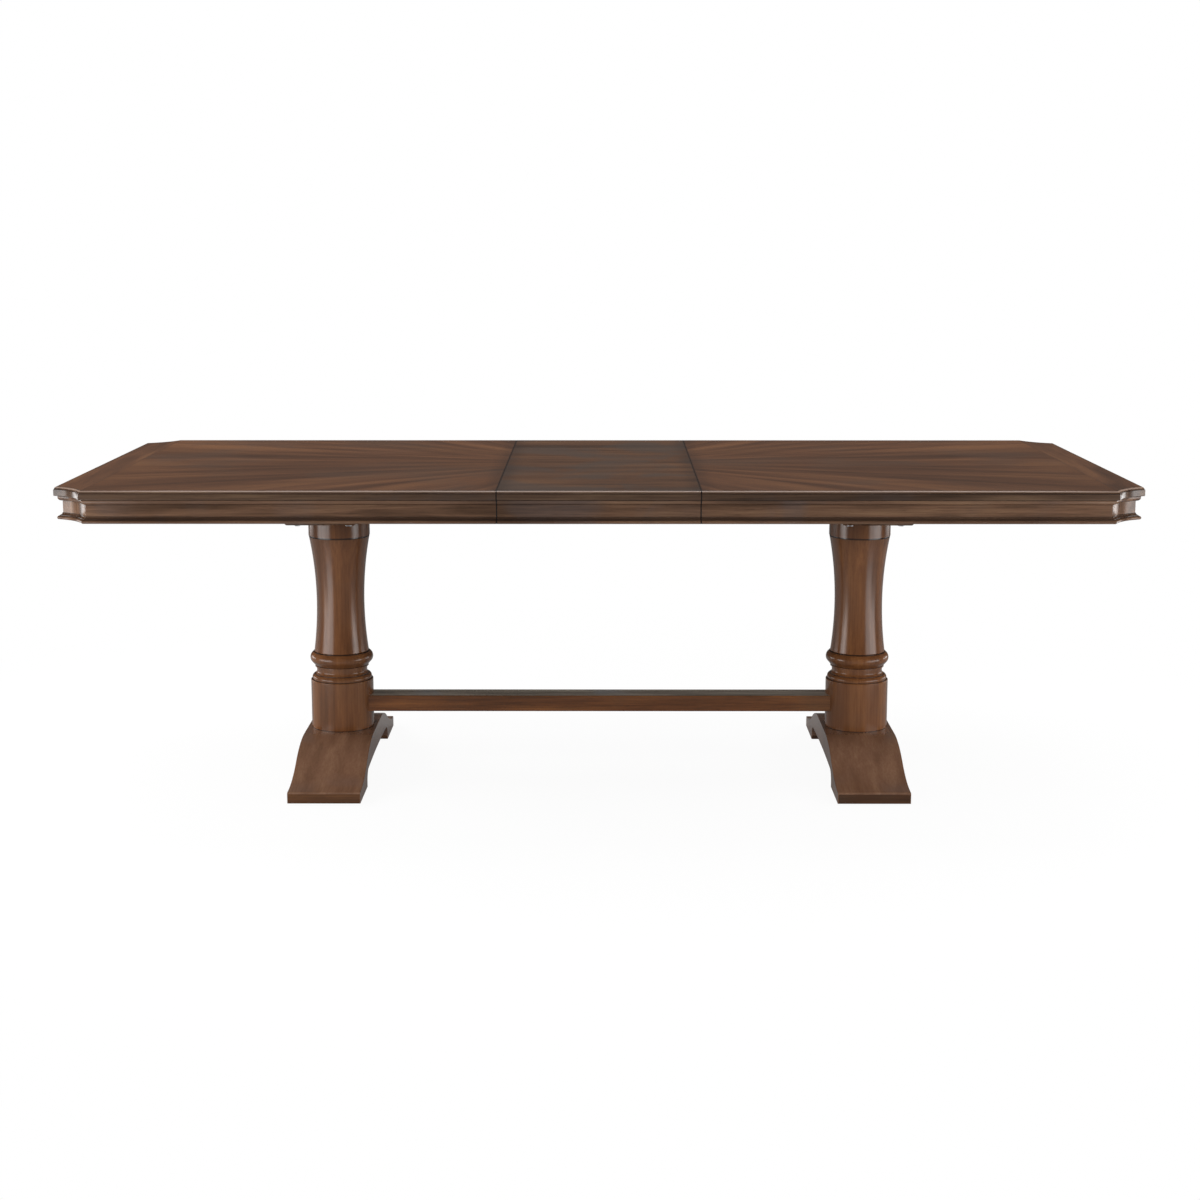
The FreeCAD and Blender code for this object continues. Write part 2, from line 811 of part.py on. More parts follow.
def make_fixed_rail(name, end):
    """The middle rail of a slide, grooved along both sides."""
    body = new_body(name + "_body")
    sketch = sketch_on(body, name + "_section", "YZ_Plane", (ZERO, ZERO, -fixed_rail_half))
    half = dim.fixed_rail_width / 2
    web = half - dim.slide_groove_depth
    low = board_top + dim.groove_drop
    high = low + dim.slide_groove_height
    centre = end * dim.slide_offset
    draw(sketch, [
        step(centre + half, board_top),
        step(centre + half, low),
        step(centre + web, low),
        step(centre + web, high),
        step(centre + half, high),
        step(centre + half, rail_top),
        step(centre - half, rail_top),
        step(centre - half, high),
        step(centre - web, high),
        step(centre - web, low),
        step(centre - half, low),
        step(centre - half, board_top),
    ])
    pad(body, name + "_run", sketch, fixed_rail_half * 2)
    return body


def lane_of(side, end):
    """Which way from the slide's middle a half's rail lies: the left half's rails are the outer ones."""
    return -side * end


def rail_ends(side):
    """The low and high ends of a half's rails and of their racks, along X."""
    inner = dim.slide_travel + dim.rack_margin
    rack_outer = joint_x + dim.rack_margin
    if side == LEFT:
        return -moving_rail_reach, inner, -rack_outer, inner
    return -inner, moving_rail_reach, -inner, rack_outer


def make_moving_rail(name, side, end):
    """A rail under a half top, with a tongue in two lengths that leaves room for the stop pin."""
    body = new_body(name + "_body")
    lane = lane_of(side, end)
    centre = end * dim.slide_offset
    low_x, high_x, rack_low, rack_high = rail_ends(side)
    near_y = centre + lane * lane_near
    far_y = centre + lane * lane_far
    seat_y = centre + lane * (lane_near + dim.rack_seat_width)
    section = sketch_on(body, name + "_section", "YZ_Plane", (ZERO, ZERO, low_x))
    draw(section, [
        step(near_y, moving_rail_bottom),
        step(near_y, gear_bottom),
        step(seat_y, gear_bottom),
        step(seat_y, panel_bottom),
        step(far_y, panel_bottom),
        step(far_y, moving_rail_bottom),
    ])
    pad(body, name + "_run", section, high_x - low_x)
    tongue_bottom = board_top + dim.groove_drop + dim.slide_gap
    tongue_height = dim.slide_groove_height - dim.slide_gap * 2
    tip_y = near_y - lane * (dim.slide_groove_depth - dim.slide_gap)
    root_y = near_y + lane * dim.overrun
    slack = dim.stop_pin_radius + dim.slide_gap
    pin_x = side * dim.stop_pin_place
    outward = side * (slack + joint_x)
    inward = side * (slack + dim.slide_travel)
    outer_x = low_x if side == LEFT else high_x
    inner_x = high_x if side == LEFT else low_x
    runs = {"outer": (outer_x, pin_x + outward), "inner": (pin_x - inward, inner_x)}
    for run_name, (first_x, second_x) in runs.items():
        tongue = sketch_on(body, name + "_tongue_" + run_name, "XY_Plane", (ZERO, ZERO, tongue_bottom))
        draw(tongue, rectangle(first_x, tip_y, second_x, root_y))
        pad(body, name + "_tongue_pad_" + run_name, tongue, tongue_height)
    return body


def make_rack(name, side, end):
    """A steel rack whose teeth face the pinion."""
    body = new_body(name + "_body")
    lane = lane_of(side, end)
    centre = end * dim.slide_offset
    low_x, high_x, rack_low, rack_high = rail_ends(side)
    back = centre + lane * (lane_near + dim.rack_seat_width)
    root = centre + lane * (pitch_radius + dim.gear_dedendum)
    tip = centre + lane * (pitch_radius - dim.gear_addendum)
    sunk = root + lane * dim.tooth_sink
    bar_sketch = sketch_on(body, name + "_plan", "XY_Plane", (ZERO, ZERO, gear_bottom))
    draw(bar_sketch, rectangle(rack_low, root, rack_high, back))
    pad(body, name + "_bar", bar_sketch, dim.gear_thickness)
    low_teeth = (-rack_low / tooth_pitch).whole()
    high_teeth = (rack_high / tooth_pitch).whole()
    first_x = tooth_pitch / 2 - low_teeth * tooth_pitch
    root_half = tooth_half + (dim.gear_dedendum + dim.tooth_sink) * FLANK_SLOPE_SHARE
    tip_half = tooth_half - dim.gear_addendum * FLANK_SLOPE_SHARE
    tooth_sketch = sketch_on(body, name + "_tooth", "XY_Plane", (ZERO, ZERO, gear_bottom))
    draw(tooth_sketch, [
        step(first_x - root_half, sunk),
        step(first_x + root_half, sunk),
        step(first_x + tip_half, tip),
        step(first_x - tip_half, tip),
    ])
    tooth = pad(body, name + "_tooth_pad", tooth_sketch, dim.gear_thickness)
    row = body.newObject("PartDesign::LinearPattern", name + "_teeth")
    row.Originals = [tooth]
    row.Direction = (tooth_sketch, ["H_Axis"])
    count = low_teeth + high_teeth
    bind(row, "Length", (count - 1) * tooth_pitch)
    bind(row, "Occurrences", count)
    body.Tip = row
    return body


def make_pinion(name, end):
    """The pinion that lies on a fixed rail between the two racks."""
    body = new_body(name + "_body")
    blank_sketch = sketch_on(body, name + "_blank_plan", "XY_Plane", (ZERO, ZERO, ZERO))
    root = pitch_radius - dim.gear_dedendum
    disc(blank_sketch, root)
    pad(body, name + "_blank", blank_sketch, dim.gear_thickness)
    tooth_sketch = sketch_on(body, name + "_tooth", "XY_Plane", (ZERO, ZERO, ZERO))
    sunk = root - dim.tooth_sink
    tip = pitch_radius + dim.gear_addendum
    draw(tooth_sketch, [
        step(sunk, -tooth_half * ROOT_WIDTH_SHARE),
        step(pitch_radius, -tooth_half),
        step(tip, -tooth_half * TIP_WIDTH_SHARE),
        step(tip, tooth_half * TIP_WIDTH_SHARE),
        step(pitch_radius, tooth_half),
        step(sunk, tooth_half * ROOT_WIDTH_SHARE),
    ])
    tooth = pad(body, name + "_tooth_pad", tooth_sketch, dim.gear_thickness)
    ring = body.newObject("PartDesign::PolarPattern", name + "_teeth")
    ring.Originals = [tooth]
    ring.Axis = (tooth_sketch, ["N_Axis"])
    ring.Angle = 360
    ring.Occurrences = PINION_TEETH
    body.Tip = ring
    move(body, ZERO, end * dim.slide_offset, gear_bottom)
    bore = upright(name + "_bore", dim.pinion_pin_radius + dim.pinion_bore_clearance, ZERO,
                   end * dim.slide_offset, gear_bottom - dim.overrun, dim.gear_thickness + dim.overrun * 2)
    return cut(name, body, bore)


def make_base_hardware():
    """The rods, nuts, washers, bolts, dowels, glides and plugs of the base, by name."""
    rods, nuts, washers, dowels, recesses, bores = [], [], [], [], [], []
    bolts, bolt_washers, glides = [], [], []
    low_nut = dim.arch_height + dim.tie_nut_lift
    low_washer = low_nut + dim.tie_nut_height
    high_washer = board_top
    high_nut = high_washer + dim.tie_washer_thickness
    rod_top = high_nut + dim.tie_nut_height + dim.tie_rod_proud
    for side_name, side in SIDES.items():
        x = side * pedestal_x
        tag = side_name + "_"
        rods.append(upright(tag + "rod", dim.tie_rod_radius, x, ZERO, low_nut, rod_top - low_nut))
        bores.append(upright(tag + "bore", dim.tie_rod_radius + dim.tie_rod_clearance, x, ZERO,
                             dim.arch_height - dim.overrun, rod_top - dim.arch_height + dim.overrun))
        recesses.append(upright(tag + "recess", dim.tie_recess_radius, x, ZERO,
                                dim.arch_height - dim.overrun, low_washer + dim.tie_washer_thickness
                                - dim.arch_height + dim.overrun))
        for place, bottom in (("low", low_nut), ("high", high_nut)):
            nuts.append(hexagon(tag + place + "_nut", dim.tie_nut_radius, x, ZERO, bottom,
                                dim.tie_nut_height))
        for place, bottom in (("low", low_washer), ("high", high_washer)):
            washers.append(upright(tag + place + "_washer", dim.tie_washer_radius, x, ZERO, bottom,
                                   dim.tie_washer_thickness))
        for end_name, end in ENDS.items():
            mark = tag + end_name + "_"
            dowel_y = end * dim.dowel_offset
            for place, middle in (("low", dim.foot_height), ("high", board_bottom)):
                dowels.append(upright(mark + place + "_dowel", dim.dowel_radius, x, dowel_y,
                                      middle - dim.dowel_length / 2, dim.dowel_length))
            for hand in (LEFT, RIGHT):
                key = mark + str(hand + 1)
                bolt_x = x + hand * board_bolt_x
                bolt_y = end * dim.slide_offset
                head_bottom = board_bottom - dim.washer_thickness - dim.bolt_head_height
                head = hexagon(key + "_head", dim.bolt_head_radius, bolt_x, bolt_y, head_bottom,
                               dim.bolt_head_height)
                shank = upright(key + "_shank", dim.bolt_radius, bolt_x, bolt_y, head_bottom,
                                dim.bolt_head_height + dim.washer_thickness + dim.board_thickness
                                + dim.board_bolt_bite)
                bolts.append(fused(key + "_bolt", [head, shank]))
                bolt_washers.append(upright(key + "_washer", dim.washer_radius, bolt_x, bolt_y,
                                            board_bottom - dim.washer_thickness, dim.washer_thickness))
                glide_x = x + hand * (foot_half_width - dim.glide_inset)
                glide_y = end * (dim.foot_length / 2 - dim.glide_inset)
                glides.append(upright(key + "_glide", dim.glide_radius, glide_x, glide_y, ZERO,
                                      dim.glide_thickness))
    rods = keep("tie_rods", together("rod_group", rods))
    keep("tie_rod_nuts", cut("nuts", together("nut_group", nuts), rods))
    keep("tie_rod_washers", cut("tie_washers", together("tie_washer_group", washers), rods))
    bolts = keep("board_bolts", together("bolt_group", bolts))
    keep("board_washers", cut("bolt_washers", together("washer_group", bolt_washers), bolts))
    return {
        "bores": together("bore_group", bores),
        "recesses": together("recess_group", recesses),
        "dowels": keep("column_dowels", together("dowel_group", dowels)),
        "bolts": bolts,
        "glides": keep("floor_glides", together("glide_group", glides)),
    }


def outwards(name, radius, side, start_x, y, length):
    """A cylinder at the stretcher's middle height that runs away from the table's middle."""
    low_x = start_x if side == RIGHT else start_x - length
    return lying(name, radius, low_x, y, stretcher_middle, length)


def make_stretcher_joints():
    """The bolts, barrel nuts, plugs, tenons and counterbores at the two ends of the stretcher."""
    bolts, barrels, plugs, bores, barrel_bores, tenons, drums = [], [], [], [], [], [], []
    tenon_root = dim.base_radius + dim.overrun
    tenon_tip = dim.base_radius - dim.tenon_length
    bolt_length = stretcher_bolt_seat + dim.base_radius + dim.stretcher_bolt_bite
    barrel_bottom = dim.stretcher_bottom + dim.barrel_nut_cover
    barrel_length = dim.stretcher_height - dim.barrel_nut_cover * 2
    for side_name, side in SIDES.items():
        x = side * pedestal_x
        tag = side_name + "_stretcher_"
        tenons.append(block(tag + "tenon", x - side * (tenon_tip + tenon_root) / 2, ZERO,
                            dim.stretcher_bottom + dim.tenon_top_shoulder, tenon_root - tenon_tip,
                            tenon_half * 2, dim.stretcher_height - dim.tenon_top_shoulder * 2))
        drums.append(upright(tag + "drum", dim.base_radius, x, ZERO, dim.foot_height, dim.base_height))
        for end_name, end in ENDS.items():
            mark = tag + end_name + "_"
            y = end * stretcher_bolt_y
            seat = x + side * stretcher_bolt_seat
            shank = outwards(mark + "shank", dim.bolt_radius, side, seat - side * bolt_length, y, bolt_length)
            head = outwards(mark + "head", dim.bolt_head_radius, side, seat, y, dim.bolt_head_height)
            bolts.append(fused(mark + "bolt", [shank, head]))
            bores.append(outwards(mark + "counterbore", dim.counterbore_radius, side, seat, y,
                                  dim.stretcher_bolt_sink + dim.overrun))
            plug_start = x + side * (dim.base_radius - dim.plug_thickness)
            blank = outwards(mark + "plug_blank", dim.counterbore_radius, side, plug_start, y,
                             dim.plug_thickness + dim.overrun)
            drum = upright(mark + "plug_drum", dim.base_radius, x, ZERO, dim.foot_height, dim.base_height)
            plugs.append(common(mark + "plug", blank, drum))
            barrel_x = x - side * (dim.base_radius + dim.barrel_nut_inset)
            barrels.append(upright(mark + "barrel", dim.barrel_nut_radius, barrel_x, y, barrel_bottom,
                                   barrel_length))
            barrel_bores.append(upright(mark + "barrel_bore", dim.barrel_nut_radius, barrel_x, y,
                                        dim.stretcher_bottom - dim.overrun,
                                        dim.overrun + dim.barrel_nut_cover + barrel_length))
    bolts = keep("stretcher_bolts", together("stretcher_bolt_group", bolts))
    keep("stretcher_barrel_nuts", cut("barrels", together("barrel_group", barrels), bolts))
    keep("stretcher_bolt_plugs", together("plug_group", plugs))
    return {
        "bolts": bolts,
        "counterbores": together("counterbore_group", bores),
        "barrel_bores": together("barrel_bore_group", barrel_bores),
        "tenons": tenons,
        "drums": together("drum_group", drums),
    }


def make_base():
    """The two pedestals, the stretcher between them and the fixed rails on top."""
    hardware = make_base_hardware()
    joints = make_stretcher_joints()
    blank = block("stretcher_blank", ZERO, ZERO, dim.stretcher_bottom, dim.pedestal_spacing,
                  dim.stretcher_depth, dim.stretcher_height)
    shouldered = cut("stretcher_shoulders", blank, joints["drums"])
    tenoned = fused("stretcher_tenoned", [shouldered] + joints["tenons"])
    keep("stretcher", cut("stretcher", tenoned, joints["bolts"], joints["barrel_bores"]))
    tenon_group = together("tenon_group", joints["tenons"])
    for side_name, side in SIDES.items():
        foot = side_name + "_foot"
        keep(foot, cut(foot, make_foot(foot, side), hardware["bores"], hardware["recesses"],
                       hardware["dowels"], hardware["glides"]))
        column = side_name + "_column"
        keep(column, cut(column, make_column(column, side), hardware["bores"], hardware["dowels"],
                         tenon_group, joints["counterbores"], joints["bolts"]))
        board = side_name + "_top_board"
        keep(board, cut(board, make_board(board, side), hardware["bores"], hardware["dowels"],
                        hardware["bolts"]))
    pins = make_pinion_pins()
    stops = make_stop_pins()
    for end_name, end in ENDS.items():
        rail = end_name + "_fixed_rail"
        keep(rail, cut(rail, make_fixed_rail(rail, end), hardware["bolts"], pins, stops))
        pinion = end_name + "_pinion"
        keep(pinion, make_pinion(pinion, end))


def make_pinion_pins():
    """The shoulder screws on which the pinions turn."""
    screws = []
    for end_name, end in ENDS.items():
        y = end * dim.slide_offset
        head_bottom = gear_top + dim.seat_gap
        shank = upright(end_name + "_pinion_shank", dim.pinion_pin_radius, ZERO, y,
                        rail_top - dim.pinion_pin_depth, head_bottom - rail_top + dim.pinion_pin_depth)
        head = upright(end_name + "_pinion_head", dim.pinion_head_radius, ZERO, y, head_bottom,
                       dim.pinion_head_height)
        screws.append(fused(end_name + "_pinion_screw", [shank, head]))
    return keep("pinion_pins", together("pinion_pin_group", screws))


def make_stop_pins():
    """The pins in the fixed rails' grooves that end each half's travel."""
    pins = []
    middle_z = board_top + dim.groove_drop + dim.slide_groove_height / 2
    inset = dim.slide_groove_depth / 2
    for side_name, side in SIDES.items():
        for end_name, end in ENDS.items():
            lane = lane_of(side, end)
            y = end * dim.slide_offset + lane * (dim.fixed_rail_width / 2 - inset)
            pins.append(upright(side_name + "_" + end_name + "_stop", dim.stop_pin_radius,
                                side * dim.stop_pin_place, y, middle_z - dim.stop_pin_length / 2,
                                dim.stop_pin_length))
    return keep("stop_pins", together("stop_pin_group", pins))


def panel_screw(name, x, y):
    """A screw driven up into the underside of the top, and the recess that its head goes up."""
    head_bottom = panel_screw_seat - dim.panel_screw_head_height
    head = upright(name + "_head", dim.panel_screw_head_radius, x, y, head_bottom,
                   dim.panel_screw_head_height)
    shank = upright(name + "_shank", dim.panel_screw_radius, x, y, head_bottom,
                    dim.panel_screw_head_height + dim.panel_screw_length)
    recess_bottom = moving_rail_bottom - dim.overrun
    recess = upright(name + "_recess", dim.panel_screw_recess, x, y, recess_bottom,
                     panel_screw_seat - recess_bottom)
    return fused(name, [head, shank]), recess


def make_half(side_name, side):
    """One half of the top with its aprons, rails, racks, batten, blocks and screws."""
    panel = side_name + "_top_panel"
    screws, recesses, rack_screws, blocks = [], [], [], []
    low_x, high_x, rack_low, rack_high = rail_ends(side)
    first_x = side * (joint_x + dim.panel_screw_inset)
    last_x = side * (moving_rail_reach - dim.panel_screw_inset)
    screw_pitch = (last_x - first_x) / (PANEL_SCREWS - 1)
    first_block = joint_x + dim.glue_block_inset
    block_pitch = (half_length - dim.glue_block_end_inset - first_block) / (SIDE_GLUE_BLOCKS - 1)
    rack_first = rack_low + dim.rack_screw_inset
    rack_pitch = (rack_high - rack_low - dim.rack_screw_inset * 2) / (RACK_SCREWS - 1)
    for end_name, end in ENDS.items():
        lane = lane_of(side, end)
        mark = side_name + "_" + end_name + "_"
        screw_y = end * dim.slide_offset + lane * (lane_near + dim.panel_screw_place)
        for number in range(PANEL_SCREWS):
            screw, recess = panel_screw(mark + "screw_%d" % number, first_x + number * screw_pitch, screw_y)
            screws.append(screw)
            recesses.append(recess)
        rack_y = end * dim.slide_offset + lane * (lane_near + dim.rack_seat_width / 2)
        for number in range(RACK_SCREWS):
            x = rack_first + number * rack_pitch
            key = mark + "rack_screw_%d" % number
            head = upright(key + "_head", dim.rack_screw_head_radius, x, rack_y, gear_top,
                           dim.rack_screw_head_height)
            shank = upright(key + "_shank", dim.rack_screw_radius, x, rack_y,
                            gear_top - dim.rack_screw_length, dim.rack_screw_length)
            rack_screws.append(fused(key, [head, shank]))
        screw, recess = panel_screw(mark + "batten_screw", side * batten_x,
                                    end * (batten_half - dim.batten_screw_inset))
        screws.append(screw)
        recesses.append(recess)
        block_y = end * (half_width - apron_back - dim.glue_block_size / 2)
        for number in range(SIDE_GLUE_BLOCKS):
            blocks.append(block(mark + "block_%d" % number, side * (first_block + number * block_pitch),
                                block_y, panel_bottom - dim.glue_block_size, dim.glue_block_length,
                                dim.glue_block_size, dim.glue_block_size))
    end_x = side * (half_length - apron_back - dim.glue_block_size / 2)
    for number, share in enumerate(END_BLOCK_SHARES):
        blocks.append(block(side_name + "_end_block_%d" % number, end_x, dim.table_width * share,
                            panel_bottom - dim.glue_block_size, dim.glue_block_size, dim.glue_block_length,
                            dim.glue_block_size))
    screws = keep(side_name + "_panel_screws", together(side_name + "_screw_group", screws))
    recesses = together(side_name + "_recess_group", recesses)
    rack_screws = keep(side_name + "_rack_screws", together(side_name + "_rack_screw_group", rack_screws))
    keep(side_name + "_glue_blocks", together(side_name + "_block_group", blocks))
    keep(panel, cut(panel, make_panel(panel, side), screws))
    batten = side_name + "_cross_batten"
    bar = block(batten + "_bar", side * batten_x, ZERO, panel_bottom - dim.batten_thickness,
                dim.batten_width, batten_half * 2, dim.batten_thickness)
    keep(batten, cut(batten, bar, screws, recesses))
    end_apron = side_name + "_end_apron"
    keep(end_apron, make_end_apron(end_apron, side))
    low_run = side * half_length if side == LEFT else joint_x
    high_run = -joint_x if side == LEFT else half_length
    for end_name, end in ENDS.items():
        apron = side_name + "_" + end_name + "_apron"
        body = make_side_apron(apron, low_run, high_run, end, panel_bottom)
        scoop_apron(body, apron + "_cove", side, end)
        keep(apron, body)
        corner = side_name + "_" + end_name + "_corner_apron"
        keep(corner, make_corner_apron(corner, side, end))
        rail = side_name + "_" + end_name + "_slide_rail"
        keep(rail, cut(rail, make_moving_rail(rail, side, end), screws, recesses, rack_screws))
        rack = side_name + "_" + end_name + "_rack"
        keep(rack, cut(rack, make_rack(rack, side, end), rack_screws))


def make_leaf():
    """The leaf with its own aprons and blocks, and battens that drop between the slides' inner rails."""
    keep("leaf_panel", make_leaf_panel())
    battens, blocks = [], []
    batten_y = dim.slide_offset - lane_far - dim.leaf_batten_clearance - dim.leaf_batten_width / 2
    for end_name, end in ENDS.items():
        keep("leaf_" + end_name + "_apron", make_side_apron("leaf_" + end_name + "_apron", -leaf_half,
                                                            leaf_half, end, leaf_bottom))
        battens.append(block("leaf_batten_" + end_name, ZERO, end * batten_y,
                             leaf_bottom - dim.leaf_batten_thickness,
                             dim.leaf_width - dim.leaf_batten_end_gap * 2,
                             dim.leaf_batten_width, dim.leaf_batten_thickness))
        block_y = end * (half_width - apron_back - dim.glue_block_size / 2)
        for number, share in enumerate(LEAF_BLOCK_SHARES):
            blocks.append(block("leaf_block_%s_%d" % (end_name, number), dim.leaf_width * share, block_y,
                                leaf_bottom - dim.glue_block_size, dim.glue_block_length,
                                dim.glue_block_size, dim.glue_block_size))
    keep("leaf_battens", together("leaf_batten_group", battens))
    keep("leaf_glue_blocks", together("leaf_block_group", blocks))


def write_files():
    """Checks every object and every piece, and then writes one file for each piece."""
    doc.recompute()
    for thing in doc.Objects:
        if "Invalid" in thing.State or "Error" in thing.State:
            raise RuntimeError("%s did not compute: %s" % (thing.Name, thing.State))
    for label, thing in nodes.items():
        if thing.Shape.isNull() or not thing.Shape.isValid() or not thing.Shape.Solids:
            raise RuntimeError("%s is not a valid solid" % label)
    os.makedirs("parts", exist_ok=True)
    for label, thing in nodes.items():
        thing.Shape.exportStep(os.path.join("parts", label + ".step"))
        box = thing.Shape.BoundBox
        print("%-26s solids %2d volume %.0f x %.1f %.1f y %.1f %.1f z %.1f %.1f" % (
            label, len(thing.Shape.Solids), thing.Shape.Volume,
            box.XMin, box.XMax, box.YMin, box.YMax, box.ZMin, box.ZMax))


make_base()
make_leaf()
make_half("left", LEFT)
make_half("right", RIGHT)
write_files()
print("pieces", len(nodes))
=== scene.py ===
"""The extending dining table's turned, moulded and veneered pieces, finished and set in a plain studio.

All lengths are in metres. X runs along the table, Y away from its front and Z up from the floor.
"""
import math
from typing import NamedTuple

import bmesh
import bpy
from bpy.props import FloatProperty, FloatVectorProperty, PointerProperty
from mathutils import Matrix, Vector


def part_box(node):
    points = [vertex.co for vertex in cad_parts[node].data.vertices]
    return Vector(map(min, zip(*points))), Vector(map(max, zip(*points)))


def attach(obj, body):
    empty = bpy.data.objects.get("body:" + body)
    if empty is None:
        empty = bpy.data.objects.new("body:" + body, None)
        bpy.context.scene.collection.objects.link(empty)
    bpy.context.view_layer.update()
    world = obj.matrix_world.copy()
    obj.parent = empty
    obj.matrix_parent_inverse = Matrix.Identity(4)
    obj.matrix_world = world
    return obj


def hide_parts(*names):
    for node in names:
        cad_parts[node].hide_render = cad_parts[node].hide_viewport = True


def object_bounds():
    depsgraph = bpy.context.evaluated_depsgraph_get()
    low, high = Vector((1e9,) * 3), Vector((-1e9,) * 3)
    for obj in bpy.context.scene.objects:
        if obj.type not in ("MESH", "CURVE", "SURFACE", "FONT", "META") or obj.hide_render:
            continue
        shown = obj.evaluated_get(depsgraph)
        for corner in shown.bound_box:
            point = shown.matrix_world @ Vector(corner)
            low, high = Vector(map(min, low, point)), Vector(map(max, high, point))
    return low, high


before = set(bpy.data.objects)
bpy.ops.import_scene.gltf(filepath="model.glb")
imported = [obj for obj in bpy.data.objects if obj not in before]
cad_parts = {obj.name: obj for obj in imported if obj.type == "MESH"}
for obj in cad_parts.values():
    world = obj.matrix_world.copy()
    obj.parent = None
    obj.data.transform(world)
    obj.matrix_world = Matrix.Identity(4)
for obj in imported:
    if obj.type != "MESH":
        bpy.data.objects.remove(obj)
cad_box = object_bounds()

bl_info = {
    "name": "Extending Dining Table",
    "version": (1, 0, 0),
    "blender": (4, 5, 0),
    "location": "View3D > Sidebar > Dining Table",
    "description": "Models and finishes a pedestal dining table with a removable leaf",
    "category": "Object",
}

SIDES = {"left": -1, "right": 1}
ENDS = {"front": -1, "rear": 1}

# How finely curves are divided, how far tools reach past what they cut, and when points are one
TURNED_STEPS = 128
NOTCH_STEPS = 128
LONG_CURVE_STEPS = 28
SHORT_CURVE_STEPS = 8
ARRIS_STEPS = 3
OVERRUN = 0.005
SPECK = 0.0001
ONE_POINT = 0.00001
SAME_PLACE = 0.0002
SMOOTH_ANGLE = math.radians(32)
# The upright part of the normal of what counts as a flat face
FLAT = 0.999
# The profile of a bevel that is part of a circle
ROUND_PROFILE = 0.5
# How many decimals the settings show
DECIMALS = 4


def length(name, default, description):
    return FloatProperty(name=name, description=description, default=default, unit="LENGTH",
                         precision=DECIMALS)


def share(name, default, description):
    return FloatProperty(name=name, description=description, default=default, min=0.0, max=1.0)


def colour(name, default, description):
    return FloatVectorProperty(name=name, description=description, default=default, subtype="COLOR",
                               min=0.0, max=1.0)


def angle(name, default, description):
    return FloatProperty(name=name, description=description, default=default, subtype="ANGLE",
                         precision=DECIMALS)


class TopSizes(bpy.types.PropertyGroup):
    """The top panels."""
    nose_round: length("Nose rounding", 0.0065, "Radius of the panels' upper outside edge")
    nose_ledge: length("Nose ledge", 0.0015, "Width of the small ledge below that rounding")
    under_round: length("Under rounding", 0.002, "Radius of the panels' lower outside edge")
    notch_radius: length("Corner cove", 0.135, "Radius of the coved corners")
    notch_out: length("Cove centre", 0.050, "How far a cove's centre lies outside the corner each way")
    band_width: length("End band", 0.080, "Width of the veneer band across each end")
    joint_shade: length("Joint shading", 0.030, "Width of the darker strip beside each joint")


class ApronSizes(bpy.types.PropertyGroup):
    """The moulded aprons."""
    setback: length("Setback", 0.0175, "How far the apron's face lies behind the nose")
    thickness: length("Thickness", 0.020, "Thickness behind the face")
    ovolo_reach: length("Ovolo reach", 0.010, "How far the upper moulding stands out")
    bead_reach: length("Bead reach", 0.012, "How far the lower bead stands out")
    bead_rise: length("Bead height", 0.008, "Height of the lower bead")
    quirk: length("Quirk", 0.0015, "Size of the small square steps")


class ColumnSizes(bpy.types.PropertyGroup):
    """The turned columns, from the foot upwards."""
    base_radius: length("Drum radius", 0.0775, "Radius of the plain drum on the foot")
    base_height: length("Drum height", 0.1195, "Height of the drum to its rounded edge")
    base_round: length("Drum rounding", 0.0025, "Radius of the drum's upper edge")
    ledge: length("Ledge", 0.0015, "Height of the small steps between rings")
    low_ring_radius: length("Low ring radius", 0.0735, "Largest radius of the ring above the drum")
    low_ring_rise: length("Low ring height", 0.0115, "Height of the ring above the drum")
    low_ring_curve: length("Low ring curve", 0.009, "Radius of that ring's profile")
    shoulder_radius: length("Shoulder radius", 0.068, "Radius at the top of the low ring")
    neck_radius: length("Neck radius", 0.0625, "Radius of the neck")
    neck_rise: length("Neck cove height", 0.0095, "Height of the cove below the neck")
    neck_curve: length("Neck cove curve", 0.009, "Radius of the cove's profile")
    neck_height: length("Neck height", 0.008, "Height of the straight neck")
    fillet_radius: length("Fillet radius", 0.0665, "Radius of the thin fillet on the neck")
    fillet_height: length("Fillet height", 0.003, "Height of the thin fillet")
    ring_foot_radius: length("Ring foot radius", 0.0655, "Radius where the large ring starts")
    ring_taper_rise: length("Ring taper", 0.0115, "Height of the taper under the large ring")
    belly_radius: length("Ring belly radius", 0.0755, "Radius where the large ring's curve starts")
    belly_rise: length("Ring belly height", 0.0225, "Height of the large ring's curve")
    ring_curve: length("Ring curve", 0.016, "Radius of the large ring's profile")
    ring_top_radius: length("Ring top radius", 0.070, "Radius at the top of the large ring")
    lip_radius: length("Lip radius", 0.0695, "Radius of the lip at the shaft's foot")
    lip_height: length("Lip height", 0.002, "Height of the lip")
    shaft_foot_radius: length("Shaft foot radius", 0.0675, "Radius at the foot of the shaft")
    waist_radius: length("Waist radius", 0.0589, "Smallest radius of the shaft")
    waist_share: share("Waist height", 0.434, "How far up the shaft its waist lies")
    shaft_top_radius: length("Shaft top radius", 0.0745, "Radius at the top of the shaft")
    groove_radius: length("Groove radius", 0.0725, "Radius in the groove under the collar")
    groove_height: length("Groove height", 0.003, "Height of the groove")
    collar_radius: length("Collar radius", 0.0755, "Radius of the collar")
    collar_height: length("Collar height", 0.0705, "Height of the collar")


